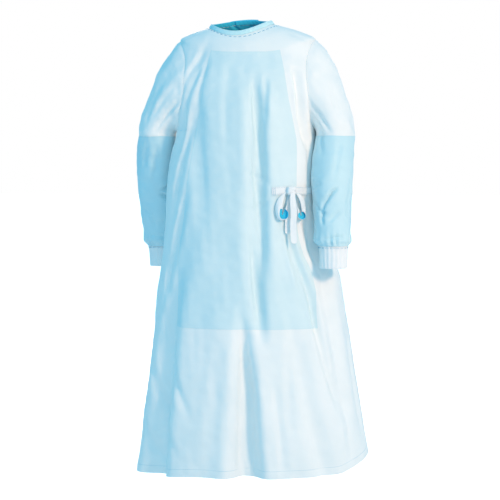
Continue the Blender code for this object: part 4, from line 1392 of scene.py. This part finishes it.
@dataclass(frozen=True)
class WaistTie:
    """The flat tie round the side, and the bow that it is tied in."""

    form: BodyForm
    height: float = -0.419
    width: float = 0.020
    start_x: float = 0.071
    knot_x: float = 0.117
    end_angle: float = 292.0
    facing: float = 0.45
    overlay: float = 0.0012
    band_columns: int = 220
    band_rows: int = 11
    band_lift: float = 0.0019
    band_cup: float = 0.0004
    band_waves: tuple[tuple[float, int, float], ...] = ((0.0007, 9, 0.6), (0.0004, 23, 0.0))
    band_twist: tuple[float, int] = (0.0003, 15)
    flap_step: tuple[float, float] = (3.0, 1.0)
    edge_stitch: Stitch = Stitch(0.0046, 0.0030, 0.00030)
    end_stitch: Stitch = Stitch(0.0030, 0.0026, 0.00055)
    end_stitch_columns: tuple[int, int] = (2, 5)
    end_stitch_lift: float = 0.0001
    knot_half: tuple[float, float, float] = (0.0122, 0.0118, 0.0078)
    knot_standoff: float = 0.0076
    knot_squareness: float = 0.65
    knot_tucks: Table = Table(
        ("depth", "slant", "offset", "width"),
        ((0.0011, 0.45, -0.0022, 0.0016), (0.0009, -0.30, 0.0046, 0.0014)),
    )
    knot_waist: tuple[float, float] = (0.10, 0.006)
    knot_reach: float = 86.0
    knot_rows: int = 34
    knot_columns: int = 56
    loop_columns: int = 96
    loop_rows: int = 31
    loop_back: float = 0.0050
    loop_depth: float = 0.0080
    loop_start: tuple[float, float] = (0.0, 0.14)
    loop_end: tuple[float, float] = (0.88, 1.0)
    loop_ripples: tuple[float, float] = (0.10, 0.06)
    loop_draw: float = 0.9
    loop_closing: float = 0.90
    loop_rounding: tuple[float, float] = (0.72, 0.8)
    loop_dip: float = 0.0006
    loop_flutter: float = 0.0007
    tail_rows: int = 60
    tail_columns: int = 11
    tail_bluntness: float = 0.03
    tail_half: float = 0.0082
    tail_neck: float = 0.72
    tail_spread: float = 0.030
    tail_fold: tuple[float, float] = (0.0012, 0.035)
    tail_twists: tuple[float, float] = (0.10, -0.08)
    search: tuple[float, float] = (2.0, 75.0)
    search_margin: float = 0.004
    search_columns: int = 220
    search_rows: int = 60
    curve_points: int = 2400
    loops: tuple[Table, Table] = (
        Table(
            LOOP_COLUMNS,
            (
                (-0.0110, -0.003), (-0.0270, -0.011), (-0.0400, -0.028), (-0.0440, -0.046),
                (-0.0420, -0.062), (-0.0330, -0.075), (-0.0210, -0.076), (-0.0125, -0.062),
                (-0.0105, -0.036), (-0.0060, -0.0100),
            ),
        ),
        Table(
            LOOP_COLUMNS,
            (
                (0.0110, -0.003), (0.0270, -0.009), (0.0400, -0.025), (0.0450, -0.043),
                (0.0430, -0.060), (0.0350, -0.074), (0.0240, -0.075), (0.0150, -0.061),
                (0.0110, -0.036), (0.0060, -0.0100),
            ),
        ),
    )
    hollows: Table = Table(
        ("side", "right", "up", "half_width", "half_height"),
        ((-1, -0.0240, -0.0590, 0.0112, 0.0140), (1, 0.0275, -0.0625, 0.0108, 0.0105)),
    )
    tails: tuple[Table, Table] = (
        Table(
            TAIL_COLUMNS,
            (
                (0.001, -0.0040, 0.0146), (0.001, -0.020, 0.0168), (0.003, -0.055, 0.0174),
                (0.0010, -0.090, 0.0160), (0.002, -0.134, 0.0168),
            ),
        ),
        Table(
            TAIL_COLUMNS,
            (
                (-0.001, -0.0080, 0.0034), (-0.005, -0.030, 0.0022), (-0.0095, -0.060, 0.0030),
                (-0.0085, -0.085, 0.0024), (-0.011, -0.109, 0.0038),
            ),
        ),
    )

    def frame(self) -> tuple[Array, Array, Array, Array]:
        """The knot's place on the form, with the directions right, up and out.

        Returns:
            The place and the three directions.
        """
        level = np.array([self.height])
        angle = self.form.angle_at(np.array([self.knot_x]), level)
        out = self.form.normals(angle, level)[0] + np.array([0.0, -self.facing, 0.0])
        out = unit(out * np.array([1.0, 1.0, 0.0]))
        right = np.array([-out[1], out[0], 0.0])
        return self.form.base(angle, level)[0], right, np.array([0.0, 0.0, 1.0]), out

    def on_the_tie(self, across: Array, up: Array, outward_by: Array) -> Array:
        """Points beside and below the knot, measured outwards from the cloth under them.

        The cloth's reach is the furthest of the plain form's points within a tail's half width.

        Args:
            across: steps to the right of the knot.
            up: steps up from it.
            outward_by: steps out from the cloth.

        Returns:
            The points.
        """
        place, right, rise, out = self.frame()
        angles = np.radians(np.linspace(*self.search, self.search_columns))
        margin = self.search_margin
        keys = np.linspace(up.min() - margin, up.max() + margin, self.search_rows)
        surface = self.form.base(angles[None, :], self.height + keys[:, None]) - place
        sideways, reach = surface @ right, surface @ out
        near = np.abs(sideways[:, None, :] - across.ravel()[None, :, None]) < self.tail_half
        high = np.where(near, reach[:, None, :], -1.0).max(axis=-1)
        share = (up.ravel() - keys[0]) / (keys[-1] - keys[0]) * (len(keys) - 1)
        i = np.clip(share.astype(int), 0, len(keys) - 2)
        column = np.arange(up.size)
        stand = high[i, column] + (high[i + 1, column] - high[i, column]) * (share - i)
        stand = stand.reshape(up.shape) + 2 * GAP + 2 * self.overlay + outward_by
        return place + across[..., None] * right + up[..., None] * rise + stand[..., None] * out

    def soft_curve(self, table: Table, count: int) -> Array:
        """Evenly spaced points of a smooth curve, its corners eased by averaging neighbours.

        Args:
            table: the curve's points.
            count: how many to give.

        Returns:
            The points, one a row.
        """
        points = np.array(table.rows, float)
        run = distances(points)
        at = np.linspace(0, run[-1], self.curve_points)
        dense = np.stack([smooth(at, run, column) for column in points.T], axis=-1)
        reach = distances(dense)
        even = np.linspace(0, reach[-1], count)
        line = np.stack([np.interp(even, reach, column) for column in dense.T], axis=-1)
        for _ in range(count // 6):
            line[1:-1] = (line[:-2] + 2 * line[1:-1] + line[2:]) / 4
        return line

    def build_band(self) -> None:
        """The flat part of the tie: along the front, round the side and onto the outer back panel."""
        start = self.form.angle_at(np.array([self.start_x]), np.array([self.height]))[0]
        angles = np.linspace(start, np.radians(self.end_angle) - 2 * np.pi, self.band_columns)
        across = np.linspace(-1, 1, self.band_rows)[:, None]
        wave = sum(height * np.sin(count * angles + shift) for height, count, shift in self.band_waves)
        levels = self.height - across * self.width / 2 + wave
        edge = 360 - self.form.outer_edge
        before, after = self.flap_step
        off = self.form.flap_lift * ease(-np.degrees(angles), edge - before, edge + after)
        twist, turns = self.band_twist
        cup = self.band_cup * across**2 + twist * np.sin(turns * angles)[None, :] * across
        grid = self.form.outer(angles[None, :], levels, off[None, :] + self.band_lift + TAPE + cup)
        normals = self.form.normals(np.broadcast_to(angles, levels.shape), levels)
        piece = add_wall("tie_band", grid, TAPE, (FINISH.tie,), normals)
        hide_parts("belt")
        for number, column in enumerate(self.end_stitch_columns):
            out = normals[:, column]
            line = grid[:, column] + out * self.end_stitch_lift
            self.end_stitch.follow(f"tie_end_stitches_{number + 1}", line, out)
        for name, row in (("upper", 1), ("lower", -2)):
            self.edge_stitch.follow("tie_" + name + "_stitches", grid[row], normals[row])

    def build_knot(self) -> None:
        """The knot: a rounded box form with slanting tucks where the tape wraps it.

        A tuck is its depth times e to the minus squared distance from a slanting line, over its
        width.
        """
        _, right, up, out = self.frame()
        centre = self.on_the_tie(np.zeros(1), np.zeros(1), np.full(1, self.knot_standoff))[0]
        reach = self.knot_reach
        rise = np.radians(np.linspace(-reach, reach, self.knot_rows))[:, None]
        turn = np.linspace(0, 2 * np.pi, self.knot_columns, endpoint=False)[None, :]
        half_x, half_z, half_y = self.knot_half
        power = self.knot_squareness
        x = squared(np.cos(rise), power) * squared(np.cos(turn), power) * half_x
        y = squared(np.cos(rise), power) * squared(np.sin(turn), power) * half_y
        z = squared(np.sin(rise), power) * half_z * np.ones_like(turn)
        tuck = np.zeros_like(z)
        for depth, slant, offset, width in self.knot_tucks.rows:
            tuck = tuck + depth * np.exp(-(((z + slant * x + offset) / width) ** 2))
        waist, reach = self.knot_waist
        pinch = 1 - tuck / half_y - waist * np.exp(-((z / reach) ** 2))
        grid = centre + (x * pinch)[..., None] * right + (y * pinch)[..., None] * out + z[..., None] * up
        normals = outward(grid, grid_normals(grid, True))
        piece = add_wall("tie_knot", grid, TAPE, (FINISH.tie,), normals, True)
        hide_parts("bow_knot")

    def build_loop(self, side: Side) -> None:
        """One loop: a ribbon on edge whose front edge is drawn in round a hollow, like a petal.

        Args:
            side: the loop's side.
        """
        number = 0 if side is Side.LEFT else 1
        flat = self.soft_curve(self.loops[number], self.loop_columns)
        t = np.linspace(0, 1, len(flat))[:, None]
        share = np.linspace(-1, 1, self.loop_rows)[None, :]
        front, back = np.clip(share, 0, 1), np.clip(-share, 0, 1)
        ends = ease(t, *self.loop_start) * (1 - ease(t, *self.loop_end))
        broad, fine = self.loop_ripples
        ripple = 1 + broad * np.sin(13 * t + 2.0 * side.value) + fine * np.sin(29 * t)
        _, right, up, half_width, half_height = self.hollows.rows[number]
        centre = np.array([right, up])
        inner = centre + unit(flat - centre) * np.array([half_width, half_height]) * ripple
        places = flat[:, None] + (inner - flat)[:, None] * (front**self.loop_draw * ends)[..., None]
        places = places + (centre - flat)[:, None] * (self.loop_closing * back * ends)[..., None]
        span, power = self.loop_rounding
        rise = np.sin(front * np.pi * span) ** power
        depth = self.loop_back + self.loop_depth * ends * rise - self.loop_dip * np.sin(np.pi * back)
        depth = depth + self.loop_flutter * np.sin(17 * t + 1.0) * front
        grid = self.on_the_tie(places[..., 0], places[..., 1], depth)
        away = grid_normals(grid)
        edge = self.loop_rows // 2
        rim = grid[:, edge] - grid[:, edge].mean(axis=0)
        away = away * np.sign(np.sum(away[:, edge] * rim))
        # The inner face, seen in the loop's hollow, takes the deep blue painted shade.
        finishes = (FINISH.tie, FINISH.inside)
        piece = add_wall("tie_loop_" + side.word, grid, TAPE, finishes, away)
        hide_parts("bow_loop_" + side.word)

    def build_tail(self, word: str, table: Table, twist: float) -> None:
        """One hanging end: a strip with a rounded tip, a soft crease and a slight twist.

        Args:
            word: the end's place, front or back.
            table: the line that it hangs along.
            twist: how far its edges turn out and in, over its half width.
        """
        line = self.soft_curve(table, self.tail_rows)
        _, right, _, out = self.frame()
        run = distances(line)
        tip = (run[-1] - run) / self.tail_half
        half = self.tail_half * np.sqrt(1 - (1 - np.clip(tip + self.tail_bluntness, 0, 1)) ** 2)
        half = half * (self.tail_neck + (1 - self.tail_neck) * ease(run, 0.0, self.tail_spread))
        across = np.linspace(-1, 1, self.tail_columns)[None, :]
        points = self.on_the_tie(line[:, 0], line[:, 1], line[:, 2])
        lean = twist * np.sin(run / run[-1] * np.pi)[:, None]
        height, reach = self.tail_fold
        fold = height * (1 - np.abs(across)) * np.exp(-((run / reach) ** 2))[:, None]
        shift = across * half[:, None]
        lift = TAPE + fold + shift * lean + self.band_cup * across**2
        grid = points[:, None] + shift[..., None] * right + lift[..., None] * out
        normals = grid_normals(grid)
        normals = normals * np.sign(np.sum(normals * out))
        piece = add_wall("tie_tail_" + word, grid, TAPE, (FINISH.tie,), normals)
        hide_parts("tail_" + word)

    def build(self) -> None:
        """The tie and its bow."""
        self.build_band()
        self.build_knot()
        for side in Side:
            self.build_loop(side)
        for word, table, twist in zip(("front", "back"), self.tails, self.tail_twists):
            self.build_tail(word, table, twist)


@dataclass(frozen=True)
class Lamp:
    """One soft square light."""

    name: str
    place: tuple[float, float, float]
    size: float
    power: float
    tint: tuple[float, float, float]

    def build(self, target: Vector) -> None:
        """The light at its place, facing a target.

        Args:
            target: the point it faces.
        """
        data = bpy.data.lights.new(self.name, "AREA")
        data.size = self.size
        data.energy = self.power
        data.color = self.tint
        light = bpy.data.objects.new(self.name, data)
        light.location = self.place
        light.rotation_euler = (Vector(self.place) - target).to_track_quat("Z", "Y").to_euler()
        show(light)


@dataclass(frozen=True)
class Studio:
    """The floor, the lights and the camera at the picture's viewing angle."""

    azimuth: float = 6.0
    elevation: float = 4.0
    distance: float = 3.7
    target: tuple[float, float, float] = (0.0, 0.0, -0.585)
    focal_px: float = 1391.0
    frame_px: int = 500
    target_px: tuple[float, float] = (249.0, 252.0)
    sensor: float = 36.0
    floor_height: float = -1.30
    floor_size: float = 60.0
    floor_tint: tuple[float, float, float] = (0.85, 0.86, 0.87)
    dome: tuple[float, float, float] = (0.165, 0.59, 0.83)
    backdrop: tuple[float, float, float] = (1.0, 1.0, 1.0)
    lamps: tuple[Lamp, ...] = (
        Lamp("key", (2.8, -2.7, 1.2), 0.6, 104.0, (1.0, 0.55, 0.31)),
        Lamp("front", (0.8, -3.7, 0.6), 1.2, 16.0, (1.0, 0.66, 0.48)),
        Lamp("left", (-3.4, -1.2, 1.3), 0.7, 4.0, (0.50, 0.85, 1.0)),
        Lamp("rear_key", (-1.1, 3.5, 1.2), 0.6, 84.0, (1.0, 0.53, 0.29)),
        Lamp("rear", (1.2, 3.5, 0.6), 1.2, 9.0, (1.0, 0.66, 0.48)),
    )

    def build_camera(self) -> None:
        """The camera, on a sphere round the target and shifted to the picture's frame."""
        turn, rise = np.radians(self.azimuth), np.radians(self.elevation)
        back = Vector((np.sin(turn) * np.cos(rise), -np.cos(turn) * np.cos(rise), np.sin(rise)))
        data = bpy.data.cameras.new("camera")
        data.sensor_width = self.sensor
        data.lens = self.focal_px / self.frame_px * self.sensor
        data.shift_x = (self.frame_px / 2 - self.target_px[0]) / self.frame_px
        data.shift_y = (self.target_px[1] - self.frame_px / 2) / self.frame_px
        camera = bpy.data.objects.new("camera", data)
        camera.location = Vector(self.target) + back * self.distance
        camera.rotation_euler = back.to_track_quat("Z", "Y").to_euler()
        show(camera)
        bpy.context.scene.camera = camera

    def build_world(self) -> None:
        """A studio dome that gives the cloth a pale blue light and shows white behind it."""
        world = bpy.data.worlds.new("studio")
        bpy.context.scene.world = world
        world.use_nodes = True
        nodes = Nodes(world.node_tree)
        seen = nodes.add("ShaderNodeLightPath", {}).outputs["Is Camera Ray"]
        tints = {"Fac": seen, "Color1": (*self.dome, 1.0), "Color2": (*self.backdrop, 1.0)}
        mix = nodes.add("ShaderNodeMixRGB", tints)
        nodes.fill(world.node_tree.nodes["Background"], {"Color": mix.outputs["Color"]})
        bpy.context.scene.view_settings.view_transform = "Standard"

    def build_floor(self) -> None:
        """A plain pale floor that shows as white as the backdrop behind it."""
        half = self.floor_size / 2
        mesh = bpy.data.meshes.new("floor")
        corners = [(-half, -half), (half, -half), (half, half), (-half, half)]
        mesh.from_pydata([(x, y, self.floor_height) for x, y in corners], [], [(0, 1, 2, 3)])
        material = bpy.data.materials.new("pale_floor")
        material.use_nodes = True
        nodes = Nodes(material.node_tree)
        surface = {
            "Base Color": (*self.floor_tint, 1.0),
            "Roughness": 0.9,
            "Specular IOR Level": 0.0,
            "Emission Color": (*self.backdrop, 1.0),
            "Emission Strength": nodes.add("ShaderNodeLightPath", {}).outputs["Is Camera Ray"],
        }
        nodes.fill(material.node_tree.nodes["Principled BSDF"], surface)
        mesh.materials.append(material)
        floor = bpy.data.objects.new("floor", mesh)
        show(floor)

    def build(self) -> None:
        """The whole studio."""
        self.build_camera()
        for lamp in self.lamps:
            lamp.build(Vector(self.target))
        self.build_world()
        self.build_floor()


SLEEVE_RADIUS = 0.055
RIGHT_SLEEVE = Table(
    SLEEVE_COLUMNS,
    (
        (-0.275, 0.2290, -0.022, 0.0515, 0.066),
        (-0.347, 0.2235, -0.052, 0.0530, 0.062),
        (-0.415, 0.2225, -0.064, 0.0520, 0.058),
        (-0.482, 0.2240, -0.078, 0.0485, 0.053),
        (-0.520, 0.2260, -0.092, 0.0460, 0.047),
        (-0.546, 0.2265, -0.098, 0.0480, 0.045),
        (-0.560, 0.2285, -0.103, 0.0385, 0.035),
        (-0.617, 0.2300, -0.118, 0.0360, 0.031),
    ),
)
LEFT_SLEEVE = Table(
    SLEEVE_COLUMNS,
    (
        (-0.275, -0.2490, 0.020, 0.0500, 0.066),
        (-0.347, -0.2560, 0.056, 0.0520, 0.061),
        (-0.415, -0.2600, 0.076, 0.0510, 0.057),
        (-0.482, -0.2590, 0.094, 0.0480, 0.053),
        (-0.533, -0.2560, 0.106, 0.0460, 0.047),
        (-0.561, -0.2540, 0.111, 0.0480, 0.045),
        (-0.576, -0.2525, 0.114, 0.0385, 0.035),
        (-0.633, -0.2520, 0.121, 0.0365, 0.031),
    ),
)
RIGHT_CREASES = Table(
    CREASE_COLUMNS,
    (
        (72, -0.410, 108, -0.452, 0.007, 0.0095, 0.004, 0.2),
        (106, -0.440, 118, -0.505, 0.007, 0.0085, 0.003, -0.2),
        (150, -0.452, 100, -0.480, 0.007, 0.0045, 0.003, 0.0),
        (160, -0.420, 118, -0.402, 0.007, 0.0040, -0.003, 0.1),
        (60, -0.470, 100, -0.500, 0.007, 0.0036, 0.002, 0.0),
        (130, -0.180, 100, -0.275, 0.009, 0.0050, 0.004, 0.2),
        (150, -0.210, 122, -0.330, 0.010, 0.0050, -0.004, 0.0),
        (40, -0.140, 66, -0.240, 0.010, 0.0030, 0.003, 0.1),
        (70, -0.290, 84, -0.390, 0.010, 0.0030, -0.003, 0.0),
        (20, -0.380, 40, -0.500, 0.010, 0.0034, 0.003, 0.2),
        (50, -0.534, 124, -0.544, 0.006, 0.0070, 0.002, 0.2),
        (300, -0.200, 270, -0.310, 0.010, 0.0040, 0.003, 0.1),
        (240, -0.220, 250, -0.340, 0.010, 0.0040, -0.003, 0.0),
        (330, -0.300, 290, -0.400, 0.011, 0.0040, 0.004, 0.0),
        (270, -0.420, 230, -0.455, 0.008, 0.0055, 0.003, 0.2),
        (310, -0.440, 262, -0.500, 0.009, 0.0045, 0.003, 0.0),
        (200, -0.360, 220, -0.460, 0.009, 0.0040, 0.002, 0.0),
    ),
)
LEFT_CREASES = Table(
    CREASE_COLUMNS,
    (
        (156, -0.398, 108, -0.424, 0.007, 0.0080, 0.003, 0.1),
        (106, -0.432, 156, -0.456, 0.007, 0.0080, 0.003, -0.1),
        (64, -0.360, 70, -0.300, 0.009, 0.0036, 0.002, 0.0),
        (50, -0.470, 84, -0.520, 0.008, 0.0040, 0.003, 0.0),
        (120, -0.170, 96, -0.270, 0.009, 0.0050, 0.004, 0.2),
        (84, -0.130, 74, -0.230, 0.010, 0.0036, 0.003, 0.0),
        (48, -0.130, 60, -0.250, 0.010, 0.0030, -0.003, 0.1),
        (100, -0.300, 90, -0.400, 0.010, 0.0040, 0.003, 0.0),
        (20, -0.280, 36, -0.370, 0.010, 0.0030, 0.003, 0.1),
        (60, -0.545, 116, -0.552, 0.007, 0.0045, 0.002, 0.1),
        (300, -0.190, 276, -0.300, 0.010, 0.0040, 0.003, 0.1),
        (250, -0.230, 256, -0.350, 0.010, 0.0040, -0.003, 0.0),
        (330, -0.300, 296, -0.390, 0.011, 0.0040, 0.004, 0.0),
        (280, -0.410, 236, -0.440, 0.008, 0.0055, 0.003, 0.2),
        (316, -0.430, 268, -0.490, 0.009, 0.0050, 0.003, 0.0),
        (206, -0.380, 226, -0.480, 0.009, 0.0040, 0.002, 0.0),
    ),
)


def main() -> None:
    """Build the studio and every piece of the gown."""
    logging.basicConfig(level=logging.INFO, format="%(name)s %(message)s")
    form = BodyForm()
    Studio().build()
    BodyPanels(form).build()
    right, left = Creases(RIGHT_CREASES, SLEEVE_RADIUS), Creases(LEFT_CREASES, SLEEVE_RADIUS)
    Sleeve(form, Side.RIGHT, RIGHT_SLEEVE, right, cuff_top=-0.560, seed=5).build()
    Sleeve(form, Side.LEFT, LEFT_SLEEVE, left, cuff_top=-0.576, seed=8).build()
    NeckBinding(form).build()
    WaistTie(form).build()


if __name__ == "__main__":
    main()
